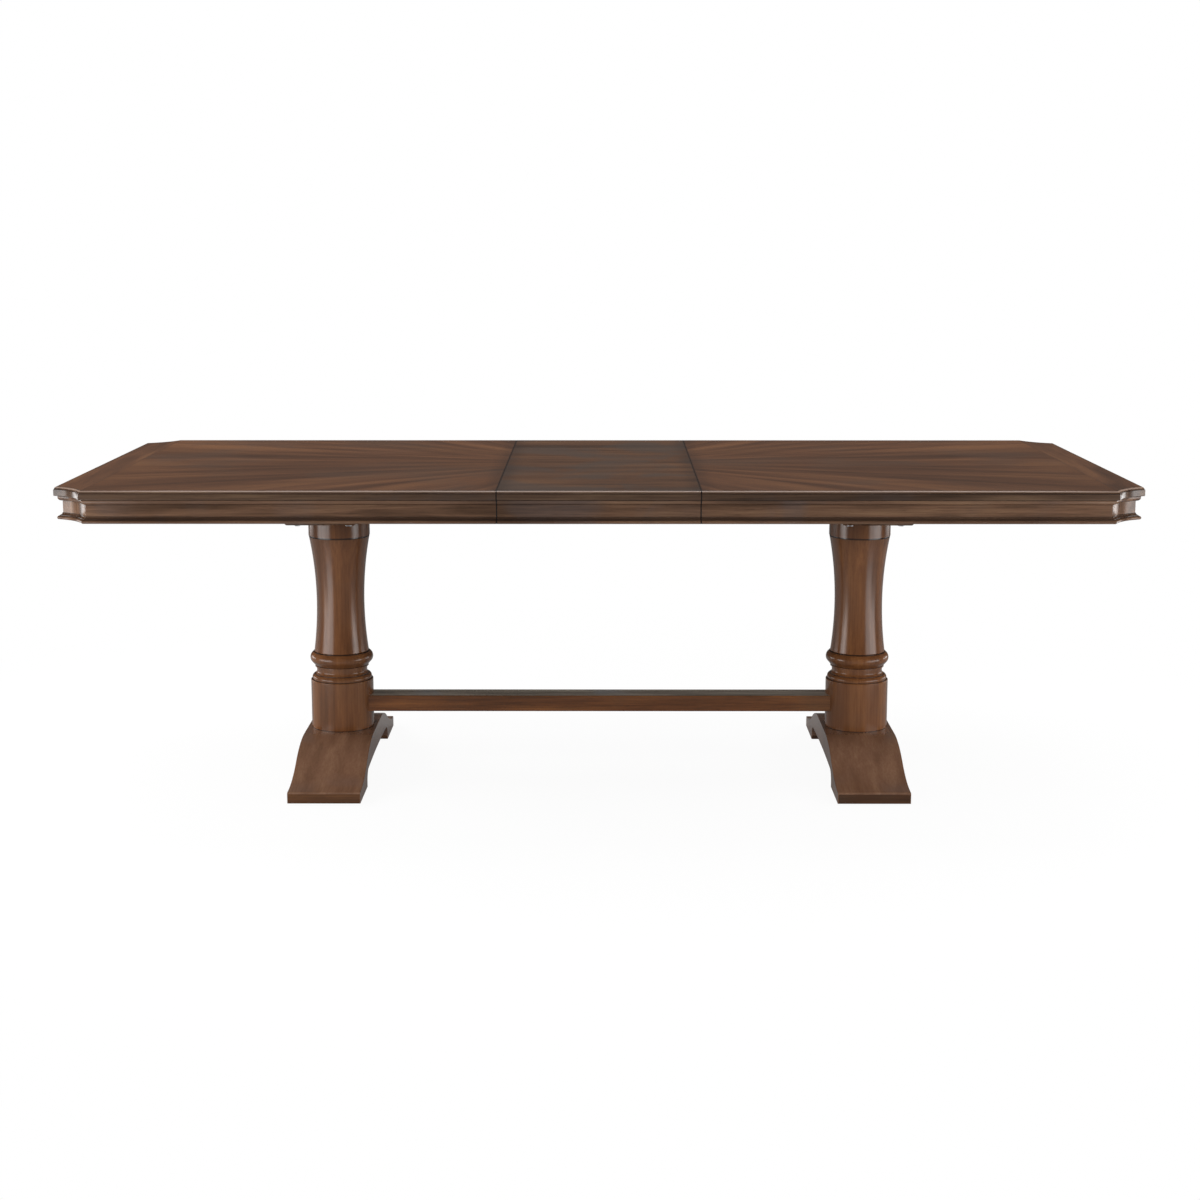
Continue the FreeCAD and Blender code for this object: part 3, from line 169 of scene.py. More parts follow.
class FootSizes(bpy.types.PropertyGroup):
    """The two feet."""
    flat_half: length("Flat", 0.085, "How far the flat under the column reaches each way")
    toe_height: length("Toe height", 0.028, "Height of the toe's face")
    toe_length: length("Toe length", 0.146, "Length of each toe on the floor")
    toe_round: length("Toe rounding", 0.004, "Radius of the toe's upper edge")
    arch_height: length("Arch height", 0.044, "Height of the arch's crown")
    arch_spring: length("Arch spring", 0.011, "Height at which the arch starts to curve")
    arch_round: length("Arch shoulder", 0.028, "Radius of the arch's shoulders")
    arris: length("Arris", 0.0015, "Radius of the eased long edges")


class WoodColours(bpy.types.PropertyGroup):
    """The lacquered wood's colours and the bare wood's."""
    deep: colour("Deep", (0.070, 0.028, 0.011), "Colour of the darkest grain")
    body: colour("Body", (0.125, 0.052, 0.022), "Colour of most of the wood")
    warm: colour("Warm", (0.185, 0.082, 0.034), "Colour of the lightest, reddest grain")
    grey: colour("Grey", (0.080, 0.056, 0.042), "Colour of the cool patches in the stain")
    # Besides the real glaze in the top's joints, this colour is painted shade in the aprons' coves, bead
    # and quirks and in the columns' steps and groove.
    glaze_and_painted_shade: colour("Glaze", (0.014, 0.008, 0.006), "Colour of the dark glaze in joints and quirks")
    # This colour is a painted highlight: a light line along the top's nose that stands in for a reflection
    # of the lamps.
    painted_nose_highlight: colour("Rubbed", (0.50, 0.36, 0.29), "Colour of the stain rubbed thin along the nose")
    bare: colour("Bare wood", (0.48, 0.33, 0.19), "Colour of the unlacquered rails and battens")
    bare_dark: colour("Bare grain", (0.33, 0.20, 0.10), "Colour of the grain in the rails and battens")
    roughness: share("Roughness", 0.20, "Roughness of the lacquer")
    gloss: share("Gloss", 0.55, "Strength of the lacquer's reflections")


class StudioSettings(bpy.types.PropertyGroup):
    """The floor, lamps and camera."""
    floor_colour: colour("Floor", (0.95, 0.95, 0.95), "Colour of the floor")
    bounce_share: share("Bounce", 0.25, "How much of its light the floor throws back on the table")
    sky_share: share("Fill", 0.22, "Brightness of the light from all round")
    reflected_share: share("Reflected studio", 0.06, "Brightness of sky and far floor in reflections")
    near_share: share("Reflected floor", 0.12, "Brightness of the floor near the table in reflections")
    shadow_share: share("Shadow", 0.06, "How much of the floor's own shading the camera sees")
    shadow_reach: length("Floor reach", 2.2, "Distance at which the floor near the table has faded out")
    camera_place: FloatVectorProperty(name="Camera", description="Where the camera stands",
                                      default=(0.01214, -4.88003, 1.33760), subtype="TRANSLATION",
                                      unit="LENGTH", precision=DECIMALS)
    camera_pitch: angle("Pitch", 0.16648, "How far the camera looks down")
    camera_turn: angle("Turn", 0.00219, "How far the camera turns left")
    lens: FloatProperty(name="Lens", description="Focal length in millimetres", default=59.673,
                        subtype="DISTANCE_CAMERA")
    shift: FloatVectorProperty(name="Shift", description="Shift across and up as shares of the picture",
                               default=(0.0, -0.0329), size=2, precision=DECIMALS)


GROUPS = {
    "table_top": TopSizes,
    "table_apron": ApronSizes,
    "table_column": ColumnSizes,
    "table_foot": FootSizes,
    "table_wood": WoodColours,
    "table_studio": StudioSettings,
}


def settings(name):
    """One of the scene's groups of settings."""
    return getattr(bpy.context.scene, name)


# Modelling


def clear_selection():
    if bpy.context.mode != "OBJECT":
        bpy.ops.object.mode_set(mode="OBJECT")
    bpy.ops.object.select_all(action="DESELECT")


def take(piece):
    """Makes a piece the only one selected, and the active one."""
    clear_selection()
    piece.select_set(True)
    bpy.context.view_layer.objects.active = piece


def called(piece, name):
    piece.name = name
    piece.data.name = name
    return piece


def pick(piece, chosen, kind="edges"):
    """Selects the edges or faces of a piece that a test on their middle and themselves accepts."""
    bpy.ops.mesh.select_mode(type="EDGE" if kind == "edges" else "FACE")
    bpy.ops.mesh.select_all(action="DESELECT")
    mesh = bmesh.from_edit_mesh(piece.data)
    for part in getattr(mesh, kind):
        middle = sum((corner.co for corner in part.verts), Vector()) / len(part.verts)
        if chosen(middle, part):
            part.select_set(True)
    mesh.select_flush_mode()
    bmesh.update_edit_mesh(piece.data)


def close(first, second):
    return abs(first - second) < SAME_PLACE


def tidy_normals():
    """Merges doubled points and turns every face outwards, in edit mode."""
    bpy.ops.mesh.select_all(action="SELECT")
    bpy.ops.mesh.remove_doubles(threshold=ONE_POINT)
    bpy.ops.mesh.normals_make_consistent(inside=False)


def slab(name, low, high):
    """A cube stretched between two corners, its place and size in its mesh."""
    clear_selection()
    bpy.ops.mesh.primitive_cube_add(size=1, location=(low + high) / 2, scale=high - low)
    bpy.ops.object.transform_apply(location=True, rotation=True, scale=True)
    return called(bpy.context.active_object, name)


def draw(name, points):
    """A wire through points, made as by hand from one point that is pulled on step by step."""
    clear_selection()
    bpy.ops.mesh.primitive_plane_add(size=SPECK, location=points[0])
    bpy.ops.object.transform_apply(location=True, rotation=True, scale=True)
    piece = called(bpy.context.active_object, name)
    bpy.ops.object.mode_set(mode="EDIT")
    bpy.ops.mesh.select_mode(type="VERT")
    bpy.ops.mesh.select_all(action="SELECT")
    bpy.ops.mesh.merge(type="CENTER")
    for here, there in zip(points, points[1:]):
        bpy.ops.mesh.extrude_region_move(TRANSFORM_OT_translate={"value": there - here})
    return piece


def prism(name, points, run):
    """A closed section through points, filled and pulled along."""
    piece = draw(name, points + points[:1])
    bpy.ops.mesh.select_all(action="SELECT")
    bpy.ops.mesh.remove_doubles(threshold=ONE_POINT)
    bpy.ops.mesh.edge_face_add()
    bpy.ops.mesh.extrude_region_move(TRANSFORM_OT_translate={"value": run})
    tidy_normals()
    bpy.ops.object.mode_set(mode="OBJECT")
    return piece


def turning(name, points, centre, steps):
    """A wire through points, turned once round an upright axis."""
    piece = draw(name, points)
    bpy.ops.mesh.select_all(action="SELECT")
    bpy.ops.mesh.spin(steps=steps, angle=math.tau, center=centre, axis=(0, 0, 1))
    tidy_normals()
    bpy.ops.object.mode_set(mode="OBJECT")
    return piece


def cut_away(piece, tool):
    """Cuts a tool's shape out of a piece, and removes the tool."""
    take(piece)
    bpy.ops.object.modifier_add(type="BOOLEAN")
    modifier = piece.modifiers[-1]
    modifier.operation = "DIFFERENCE"
    modifier.solver = "EXACT"
    modifier.object = tool
    bpy.ops.object.modifier_apply(modifier=modifier.name)
    bpy.data.objects.remove(tool)
    return piece


def trim(piece, point, outwards):
    """Cuts a piece at a plane, drops what lies outside it and closes the cut."""
    take(piece)
    bpy.ops.object.mode_set(mode="EDIT")
    bpy.ops.mesh.select_all(action="SELECT")
    bpy.ops.mesh.bisect(plane_co=point, plane_no=outwards, use_fill=True, clear_outer=True)
    tidy_normals()
    bpy.ops.object.mode_set(mode="OBJECT")
    return piece


def ease(piece, chosen, radius, steps):
    """Rounds the edges that a test accepts."""
    take(piece)
    bpy.ops.object.mode_set(mode="EDIT")
    pick(piece, chosen)
    bpy.ops.mesh.bevel(offset=radius, offset_type="OFFSET", segments=steps, profile=ROUND_PROFILE,
                       affect="EDGES")
    bpy.ops.object.mode_set(mode="OBJECT")
    return piece


def smooth(piece):
    """Shades curves smooth and keeps flat faces flat."""
    take(piece)
    bpy.ops.object.shade_smooth_by_angle(angle=SMOOTH_ANGLE, keep_sharp_edges=True)
    bpy.ops.object.modifier_add(type="WEIGHTED_NORMAL")
    modifier = piece.modifiers[-1]
    modifier.keep_sharp = True
    bpy.ops.object.modifier_apply(modifier=modifier.name)
    return piece


def refinish(piece, chosen, finish):
    """Gives the faces of a piece that a test accepts another finish, by its name."""
    take(piece)
    bpy.ops.object.material_slot_add()
    piece.material_slots[-1].material = finish_named(finish)
    bpy.ops.object.mode_set(mode="EDIT")
    pick(piece, chosen, "faces")
    bpy.ops.object.material_slot_assign()
    bpy.ops.object.mode_set(mode="OBJECT")


def lengthways(middle, face):
    """Whether an edge face of a panel runs along the table."""
    return abs(face.normal.z) < FLAT and abs(face.normal.y) >= abs(face.normal.x)


def crossways(middle, face):
    """Whether an edge face of a panel runs across the table."""
    return abs(face.normal.z) < FLAT and abs(face.normal.y) < abs(face.normal.x)


def toe_face(middle, face):
    """Whether a foot's face is end grain."""
    return abs(face.normal.y) > FLAT


def faces_up(middle, face):
    return face.normal.z > FLAT


def coat(piece, finish):
    """Gives a whole piece a finish, by its name."""
    piece.data.materials.clear()
    piece.data.materials.append(finish_named(finish))


def place(piece, body, node, finish, slot="dark_wood"):
    """Finishes a piece, sets it on its body and lets it stand for its CAD node."""
    smooth(piece)
    coat(piece, finish)
    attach(piece, body)
    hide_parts(node)


class Outline:
    """A section drawn from point to point, across and up."""

    def __init__(self, across, up):
        self.points = [(across, up)]

    def line(self, across, up):
        self.points.append((across, up))
        return self

    def bow(self, across, up, towards, radius, steps=SHORT_CURVE_STEPS):
        """A short arc to a point, curving towards a second point."""
        start = Vector(self.points[-1])
        end = Vector((across, up))
        chord = end - start
        normal = Vector((-chord.y, chord.x)).normalized()
        middle = (start + end) / 2
        if normal.dot(Vector(towards) - middle) < 0:
            normal = -normal
        centre = middle + normal * math.sqrt(radius ** 2 - (chord.length / 2) ** 2)
        turn = (start - centre).angle_signed(end - centre)
        for step in range(1, steps):
            self.points.append(tuple(centre + turned(start - centre, -turn * step / steps)))
        self.points.append((across, up))
        return self


def turned(arm, angle):
    """A flat vector turned about its start."""
    cosine = math.cos(angle)
    sine = math.sin(angle)
    return Vector((arm.x * cosine - arm.y * sine, arm.x * sine + arm.y * cosine))


def moulding(rise):
    """The outside of an apron from its bottom up: how far it stands out, and its height."""
    apron = settings("table_apron")
    bead = apron.bead_rise / 2
    middle = apron.bead_reach - bead
    cove_start = middle - apron.quirk
    cove = cove_start - apron.quirk
    cove_bottom = apron.bead_rise + apron.quirk
    cove_top = cove_bottom + cove
    ovolo = apron.ovolo_reach - apron.quirk
    ovolo_top = rise - apron.quirk * 2
    outline = Outline(middle, 0)
    outline.bow(apron.bead_reach, bead, (middle, bead), bead)
    outline.bow(middle, apron.bead_rise, (middle, bead), bead)
    outline.line(cove_start, apron.bead_rise).line(cove_start, cove_bottom)
    outline.bow(apron.quirk, cove_top, (cove_start, cove_top), cove)
    outline.line(0, cove_top).line(0, ovolo_top - ovolo).line(apron.quirk, ovolo_top - ovolo)
    outline.bow(apron.ovolo_reach, ovolo_top, (apron.quirk, ovolo_top), ovolo)
    outline.line(apron.ovolo_reach, rise - apron.quirk).line(ovolo, rise - apron.quirk).line(ovolo, rise)
    return outline.points


def nose(rise):
    """The outside of a top panel in the same terms."""
    top = settings("table_top")
    ledge = rise - top.nose_round
    inside = -top.nose_ledge - top.nose_round
    outline = Outline(-top.under_round, 0)
    outline.bow(0, top.under_round, (-top.under_round, top.under_round), top.under_round, ARRIS_STEPS)
    outline.line(0, ledge).line(-top.nose_ledge, ledge)
    outline.bow(inside, rise, (inside, ledge), top.nose_round)
    return outline.points


def corner_of(side, end):
    """The table's outer corner, as it would be without its notch."""
    low, high = cad_box
    return Vector((high[0] if side > 0 else low[0], high[1] if end > 0 else low[1], 0))


def notch_centre(side, end):
    """The middle of a corner's cove, outside the table's corner."""
    out = settings("table_top").notch_out
    return corner_of(side, end) + Vector((side * out, end * out, 0))


def across_table(section, along):
    """A section stood up across the table, at a place along it."""
    return [Vector((along, across, up)) for across, up in section]


def along_table(section, across):
    """A section stood up along the table, at a place across it."""
    return [Vector((along, across, up)) for along, up in section]


def beside(axis, section):
    """A section stood up beside an upright axis that it is turned round."""
    return [Vector((axis.x + out, axis.y, up)) for out, up in section]


def cove_corner(piece, name, side, end, outside, setback, bottom):
    """Cuts a corner back with a turned tool that leaves an outline's shape round the cove."""
    radius = settings("table_top").notch_radius + setback
    flank = [(radius - out, bottom + up) for out, up in outside]
    top = flank[-1][1] + OVERRUN
    start = [(0, bottom - OVERRUN), (flank[0][0], bottom - OVERRUN)]
    section = start + flank + [(flank[-1][0], top), (0, top)]
    centre = notch_centre(side, end)
    cut_away(piece, turning(name + "_scoop", beside(centre, section), centre, NOTCH_STEPS))


def panel(node):
    """A panel whose front and rear edges have the nose's outline, run along the table."""
    low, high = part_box(node)
    outside = nose(high.z - low.z)
    rear = [(high.y + out, low.z + up) for out, up in outside]
    front = [(low.y - out, low.z + up) for out, up in reversed(outside)]
    return prism("veneered_" + node, across_table(rear + front, low.x), Vector((high.x - low.x, 0, 0)))


def half_panel(side_name, side):
    """A half top with a moulded nose on three sides and two coved corners."""
    node = side_name + "_top_panel"
    low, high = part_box(node)
    piece = panel(node)
    outside = nose(high.z - low.z)
    end_face = cad_box[1][0]
    flank = [(side * (end_face + out), low.z + up) for out, up in outside]
    far = side * (end_face + OVERRUN)
    above = high.z + OVERRUN
    below = low.z - OVERRUN
    section = flank + [(flank[-1][0], above), (far, above), (far, below), (flank[0][0], below)]
    width = high.y - low.y + OVERRUN * 2
    cut_away(piece, prism(node + "_waste", along_table(section, low.y - OVERRUN), Vector((0, width, 0))))
    for end_name, end in ENDS.items():
        cove_corner(piece, node + end_name, side, end, outside, 0.0, low.z)
    return piece


def apron_section(out_at, rise, bottom):
    """A closed section of an apron as (place across, height)."""
    apron = settings("table_apron")
    outside = [(out_at(out), bottom + up) for out, up in moulding(rise)]
    back = out_at(-apron.thickness)
    return outside + [(back, bottom + rise), (back, bottom)]


def side_apron(name, node, end, notch_side):
    """A straight apron along the front or rear, coved at its outer end if it has one."""
    apron = settings("table_apron")
    low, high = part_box(node)
    face = cad_box[1][1] - apron.setback
    rise = high.z - low.z
    near_x, far_x = low.x, high.x
    if notch_side > 0:
        far_x = cad_box[1][0]
    if notch_side < 0:
        near_x = cad_box[0][0]
    section = apron_section(lambda out: end * (face + out), rise, low.z)
    piece = prism(name, across_table(section, near_x), Vector((far_x - near_x, 0, 0)))
    if notch_side:
        cove_corner(piece, name, notch_side, end, moulding(rise), apron.setback, low.z)
    return piece


def end_apron(name, node, side):
    """The apron across one end, coved at both its ends."""
    apron = settings("table_apron")
    low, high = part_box(node)
    rise = high.z - low.z
    face = cad_box[1][0] - apron.setback
    width = cad_box[1][1] - cad_box[0][1]
    section = apron_section(lambda out: side * (face + out), rise, low.z)
    piece = prism(name, along_table(section, cad_box[0][1]), Vector((0, width, 0)))
    for end_name, end in ENDS.items():
        cove_corner(piece, name + end_name, side, end, moulding(rise), apron.setback, low.z)
    return piece


def corner_apron(name, node, side, end):
    """The coved block in a notched corner: a turned ring trimmed to its two mitres."""
    apron = settings("table_apron")
    low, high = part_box(node)
    corner = corner_of(side, end)
    centre = notch_centre(side, end)
    radius = settings("table_top").notch_radius + apron.setback
    section = apron_section(lambda out: radius - out, high.z - low.z, low.z)
    piece = turning(name, beside(centre, section + section[:1]), centre, NOTCH_STEPS)
    back = apron.setback + apron.thickness
    trim(piece, corner - Vector((side * back, 0, 0)), Vector((side, 0, 0)))
    return trim(piece, corner - Vector((0, end * back, 0)), Vector((0, end, 0)))


def flare(rise, reach):
    """The radius of an arc that leaves straight up and ends this far up and this far out."""
    return (rise ** 2 + reach ** 2) / (2 * reach)


def column_section(bottom, top):
    """Half of a column's section, from the middle of its foot to the middle of its top."""
    size = settings("table_column")
    drum_top = bottom + size.base_height
    drum_edge = size.base_radius - size.base_round
    outline = Outline(0, bottom).line(size.base_radius, bottom).line(size.base_radius, drum_top)
    outline.bow(drum_edge, drum_top + size.base_round, (drum_edge, drum_top), size.base_round)
    level = drum_top + size.base_round
    outline.line(size.low_ring_radius, level).line(size.low_ring_radius, level + size.ledge)
    level += size.ledge + size.low_ring_rise
    ring_foot = (size.neck_radius, level - size.low_ring_rise)
    outline.bow(size.shoulder_radius, level, ring_foot, size.low_ring_curve)
    inner = size.shoulder_radius - size.ledge
    outline.line(inner, level).line(inner, level + size.ledge)
    level += size.ledge + size.neck_rise
    outline.bow(size.neck_radius, level, (size.base_radius, level), size.neck_curve)
    level += size.neck_height
    outline.line(size.neck_radius, level).line(size.fillet_radius, level)
    level += size.fillet_height
    outline.line(size.fillet_radius, level).line(size.ring_foot_radius, level)
    level += size.ring_taper_rise
    outline.line(size.belly_radius, level)
    level += size.belly_rise
    outline.bow(size.ring_top_radius, level, (size.neck_radius, level - size.belly_rise), size.ring_curve,
                SHORT_CURVE_STEPS * 2)
    outline.line(size.shaft_foot_radius, level).line(size.shaft_foot_radius, level + size.ledge)
    level += size.ledge
    outline.line(size.lip_radius, level)
    level += size.lip_height
    outline.line(size.shaft_foot_radius, level)
    collar_low = top - size.collar_height
    shaft_high = collar_low - size.groove_height
    waist = level + (shaft_high - level) * size.waist_share
    halves = ((size.shaft_foot_radius, level, waist), (size.shaft_top_radius, waist, shaft_high))
    for end_radius, start, end in halves:
        curve = flare(end - start, end_radius - size.waist_radius)
        reached = size.waist_radius if end == waist else end_radius
        outline.bow(reached, end, (size.waist_radius + curve, waist), curve, LONG_CURVE_STEPS)
    outline.line(size.groove_radius, shaft_high).line(size.groove_radius, collar_low)
    outline.line(size.collar_radius, collar_low).line(size.collar_radius, top).line(0, top)
    return outline.points


def column(name, side_name):
    """A column turned on its own axis."""
    low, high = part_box(side_name + "_column")
    axis = Vector(((low.x + high.x) / 2, 0, 0))
    return turning(name, beside(axis, column_section(low.z, high.z)), axis, TURNED_STEPS)


def foot_half(low, high):
    """The rear half of a foot's outline, from the middle of its top round to the middle of its arch."""
    size = settings("table_foot")
    toe = high.y
    run = (toe - size.flat_half) / 2
    fall = (high.z - size.toe_height) / 2
    curve = flare(run, fall)
    outline = Outline(size.flat_half, high.z)
    outline.bow(toe - run, size.toe_height + fall, (size.flat_half, 0), curve, LONG_CURVE_STEPS)
    outline.bow(toe - size.toe_round, size.toe_height, (toe, high.z + curve), curve, LONG_CURVE_STEPS)
    toe_side = (toe - size.toe_round, 0)
    outline.bow(toe, size.toe_height - size.toe_round, toe_side, size.toe_round, ARRIS_STEPS)
    heel = toe - size.toe_length
    shoulder = heel - size.arch_round
    shoulder_height = size.arch_spring + size.arch_round
    outline.line(toe, low.z).line(heel, low.z).line(heel, size.arch_spring)
    outline.bow(shoulder, shoulder_height, (shoulder, size.arch_spring), size.arch_round)
    crown = flare(shoulder, size.arch_height - shoulder_height)
    outline.bow(0, size.arch_height, (0, size.arch_height - crown), crown, LONG_CURVE_STEPS // 2)
    return outline.points


def foot(name, side_name):
    """A foot cut to its outline, with its long edges eased."""
    size = settings("table_foot")
    low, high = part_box(side_name + "_foot")
    rear = foot_half(low, high)
    front = [(-across, up) for across, up in reversed(rear[:-1])]
    piece = prism(name, across_table(rear + front, low.x), Vector((high.x - low.x, 0, 0)))

    def long_edge(middle, edge):
        return (close(middle.x, low.x) or close(middle.x, high.x)) and middle.z > low.z + SAME_PLACE

    return ease(piece, long_edge, size.arris, ARRIS_STEPS)


def stretcher(name):
    """The stretcher, its long edges eased and its ends coped round the columns."""
    size = settings("table_foot")
    low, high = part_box("stretcher")
    piece = slab(name, low, high)
    level = (low.z + high.z) / 2

    def long_edge(middle, edge):
        return close(abs(middle.y), high.y) and close(abs(middle.z - level), high.z - level)

    ease(piece, long_edge, size.arris, ARRIS_STEPS)
    radius = settings("table_column").base_radius
    for side_name in SIDES:
        foot_low, foot_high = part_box(side_name + "_foot")
        clear_selection()
        bpy.ops.mesh.primitive_cylinder_add(vertices=TURNED_STEPS, radius=radius, depth=high.z,
                                            location=((foot_low.x + foot_high.x) / 2, 0, high.z))
        cut_away(piece, bpy.context.active_object)
    return piece


# Finishes

# What the stain's colour is multiplied by on each kind of piece
FAN_TINT = (1.30, 1.25, 1.22)
LEAF_TINT = (1.10, 1.18, 1.30)
APRON_TINT = (1.08, 1.36, 1.85)
NOSE_TINT = (0.57, 0.76, 1.07)
STRETCHER_TINT = (0.94, 0.77, 0.52)
COLUMN_TINT = (1.16, 1.06, 0.90)
END_GRAIN_TINT = (0.68, 0.62, 0.50)
FOOT_TINT = (1.40, 1.75, 2.50)
# The stretcher's upper faces are made lighter and greyer: a painted reflection of the pale studio.
PAINTED_REFLECTION_TINT = (2.45, 4.90, 9.20)
WHITE = (1.0, 1.0, 1.0)


class Noise(NamedTuple):
    """A noise's detail, roughness, distortion and scale, and its scales along and across the grain."""
    detail: float
    roughness: float
    distortion: float = 0.0
    scale: float = 1.0
    along: float = 1.0
    across: float = 1.0


# The figure, the fine streaks and the pores of solid wood, of veneer and of bare wood
SOLID_GRAIN = (
    Noise(4.0, 0.55, 0.3, along=2.2, across=30.0),
    Noise(3.0, 0.6, along=7.0, across=240.0),
    Noise(2.0, 0.5, along=38.0, across=900.0),
)
VENEER_GRAIN = (
    Noise(5.0, 0.6, 0.5, along=1.3, across=15.0),
    Noise(3.0, 0.6, along=6.0, across=230.0),
    Noise(2.0, 0.5, along=40.0, across=850.0),
)
BARE_GRAIN = (
    Noise(4.0, 0.6, 0.4, along=2.0, across=26.0),
    Noise(3.0, 0.6, along=12.0, across=420.0),
)
# The patches in the stain, the glaze's ragged edge at the joints, and what marks the steel and the plastic
SOLID_PATCHES = Noise(3.0, 0.5, 0.4, scale=5.5)
FAN_PATCHES = Noise(3.0, 0.5, 0.4, scale=3.6)
LEAF_PATCHES = Noise(3.0, 0.55, 0.5, scale=5.0)
RAGGED_EDGE = Noise(4.0, 0.6, scale=9.0)
STEEL_SCUFFS = Noise(4.0, 0.6, scale=160.0)
PLASTIC_GRAIN = Noise(3.0, 0.6, scale=700.0)
# Where a value starts and ends to count, and what it gives there
SOLID_PATCH_RANGE = (0.50, 0.72, 0.0, 0.35)
FAN_PATCH_RANGE = (0.48, 0.72, 0.05, 0.35)
LEAF_PATCH_RANGE = (0.42, 0.62, 0.0, 0.6)
FAN_BRIGHTNESS_RANGE = (0.0, 1.0, 0.88, 1.12)
STEEL_ROUGHNESS_RANGE = (0.3, 0.7, 0.26, 0.46)
# Where colour ramps change, with their brightness there unless they run through the wood's own colours
FIGURE_PLACES = (0.34, 0.50, 0.66)
STREAK_STOPS = ((0.30, 0.72), (0.52, 1.0), (0.75, 1.20))
PORE_STOPS = ((0.30, 0.55), (0.42, 1.0))
BARE_PLACES = (0.35, 0.60)
BARE_STREAK_STOPS = ((0.35, 0.72), (0.60, 1.05))
PLASTIC_STOPS = ((0.35, 0.018), (0.65, 0.030))
# Where a ramp's new stop lies until it is moved
NEW_STOP = 0.5
# How much the pores and the bare wood's streaks darken the wood
PORE_SHARE = 0.6
BARE_STREAK_SHARE = 0.6
# How strongly a surface's relief shows, and how deep it is
LACQUER_RELIEF = (0.1, 0.0001)
BARE_RELIEF = (0.3, 0.0003)
STEEL_RELIEF = (0.1, 0.0002)
PLASTIC_RELIEF = (0.3, 0.0002)
BARE_ROUGHNESS = 0.62
BARE_GLOSS = 0.3
PLASTIC_ROUGHNESS = 0.55
STEEL_COLOUR = (0.58, 0.58, 0.60)
STEEL_CELL_SCALE = 420.0
STEEL_CELL_SHARE = 0.12
# The fan's width of veneer and number of leaves for each radian, and the end bands' patches and line
FAN_SPREAD = 0.62
FAN_LEAVES = 7.0
BAND_PATCH_SHARE = 0.15
BAND_LINE = 0.0008
BAND_LINE_SHARE = 0.6
# The glaze beside a joint: the shares of its width where it starts to fade and has faded, its strength,
# and the width and strength of its seam
JOINT_FADE_SHARES = (0.5, 2.0)
JOINT_SHARE = 0.35
SEAM_WIDTH_SHARE = 0.12
SEAM_SHARE = 0.8
# The mouldings' lines: the painted highlight's depth and half width on the nose, the half widths of the
# painted shade lines in quirks and rings, and the strengths of all these
NOSE_HIGHLIGHT_SHARES = (0.25, 0.2)
QUIRK_LINE_SHARE = 0.6
RING_LINE_SHARE = 0.7
PAINTED_HIGHLIGHT_SHARE = 0.4
QUIRK_SHADE_SHARE = 0.75
COVE_SHADE_SHARE = 0.6
BEAD_SHADE_SHARE = 0.2
COLUMN_FOOT_SHADE_SHARE = 0.85
RING_SHADE_SHARE = 0.6
GROOVE_SHADE_SHARE = 0.8


class Nodes:
    """A node tree, built node by node."""

    def __init__(self, tree):
        self.tree = tree

    def feed(self, socket, value):
        """Links a socket, or gives it a value."""
        if isinstance(value, bpy.types.NodeSocket):
            self.tree.links.new(value, socket)
        elif socket.type == "RGBA":
            socket.default_value = (*value, 1)
        else:
            socket.default_value = value

    def node(self, kind, inputs=None, **options):
        """A node with its options set and its inputs fed."""
        made = self.tree.nodes.new("ShaderNode" + kind)
        for option, value in options.items():
            setattr(made, option, value)
        for socket, value in (inputs or {}).items():
            self.feed(made.inputs[socket], value)
        return made

    def math(self, operation, first, second=0.0, third=0.0):
        return self.node("Math", {0: first, 1: second, 2: third}, operation=operation).outputs["Value"]

    def axes(self, vector):
        """The three coordinates of a vector."""
        return self.node("SeparateXYZ", {"Vector": vector}).outputs.values()

    def vector(self, x, y, z):
        return self.node("CombineXYZ", {"X": x, "Y": y, "Z": z}).outputs["Vector"]

    def noise(self, vector, layer):
        made = self.node("TexNoise", {"Vector": vector, "Scale": layer.scale, "Detail": layer.detail,
                                      "Roughness": layer.roughness, "Distortion": layer.distortion})
        return made.outputs["Fac"]

    def grain(self, vector, axis, layer):
        """A noise drawn out along one axis."""
        scales = [layer.across] * len("XYZ")
        scales["XYZ".index(axis)] = layer.along
        drawn = self.node("Mapping", {"Vector": vector, "Scale": scales}).outputs["Vector"]
        return self.noise(drawn, layer)

    def ramp(self, factor, stops):
        """A colour ramp through stops of a place with a colour or a brightness."""
        made = self.node("ValToRGB", {"Fac": factor})
        elements = made.color_ramp.elements
        while len(elements) < len(stops):
            elements.new(NEW_STOP)
        for element, (position, shade) in zip(elements, stops):
            element.position = position
            element.color = (*shade, 1) if hasattr(shade, "__len__") else (shade, shade, shade, 1)
        return made.outputs["Color"]

    def rise(self, value, low, high, start=0.0, end=1.0):
        """A value carried smoothly from one range to another."""
        made = self.node("MapRange", {"Value": value, "From Min": low, "From Max": high, "To Min": start,
                                      "To Max": end}, interpolation_type="SMOOTHSTEP")
        return made.outputs["Result"]

    def mix(self, factor, first, second, blend="MIX"):
        """Two colours blended."""
        made = self.node("Mix", data_type="RGBA", blend_type=blend)
        colours = [socket for socket in made.inputs if socket.type == "RGBA"]
        for socket, value in zip((made.inputs[0], *colours), (factor, first, second)):
            self.feed(socket, value)
        return [socket for socket in made.outputs if socket.type == "RGBA"][0]

    def blend(self, factor, first, second):
        """Two numbers blended."""
        return self.node("Mix", {"Factor": factor, "A": first, "B": second}).outputs["Result"]

    def seen(self, rays):
        """Whether a ray comes from the camera, straight or through glass."""
        return self.math("MAXIMUM", rays["Is Camera Ray"], rays["Is Transmission Ray"])


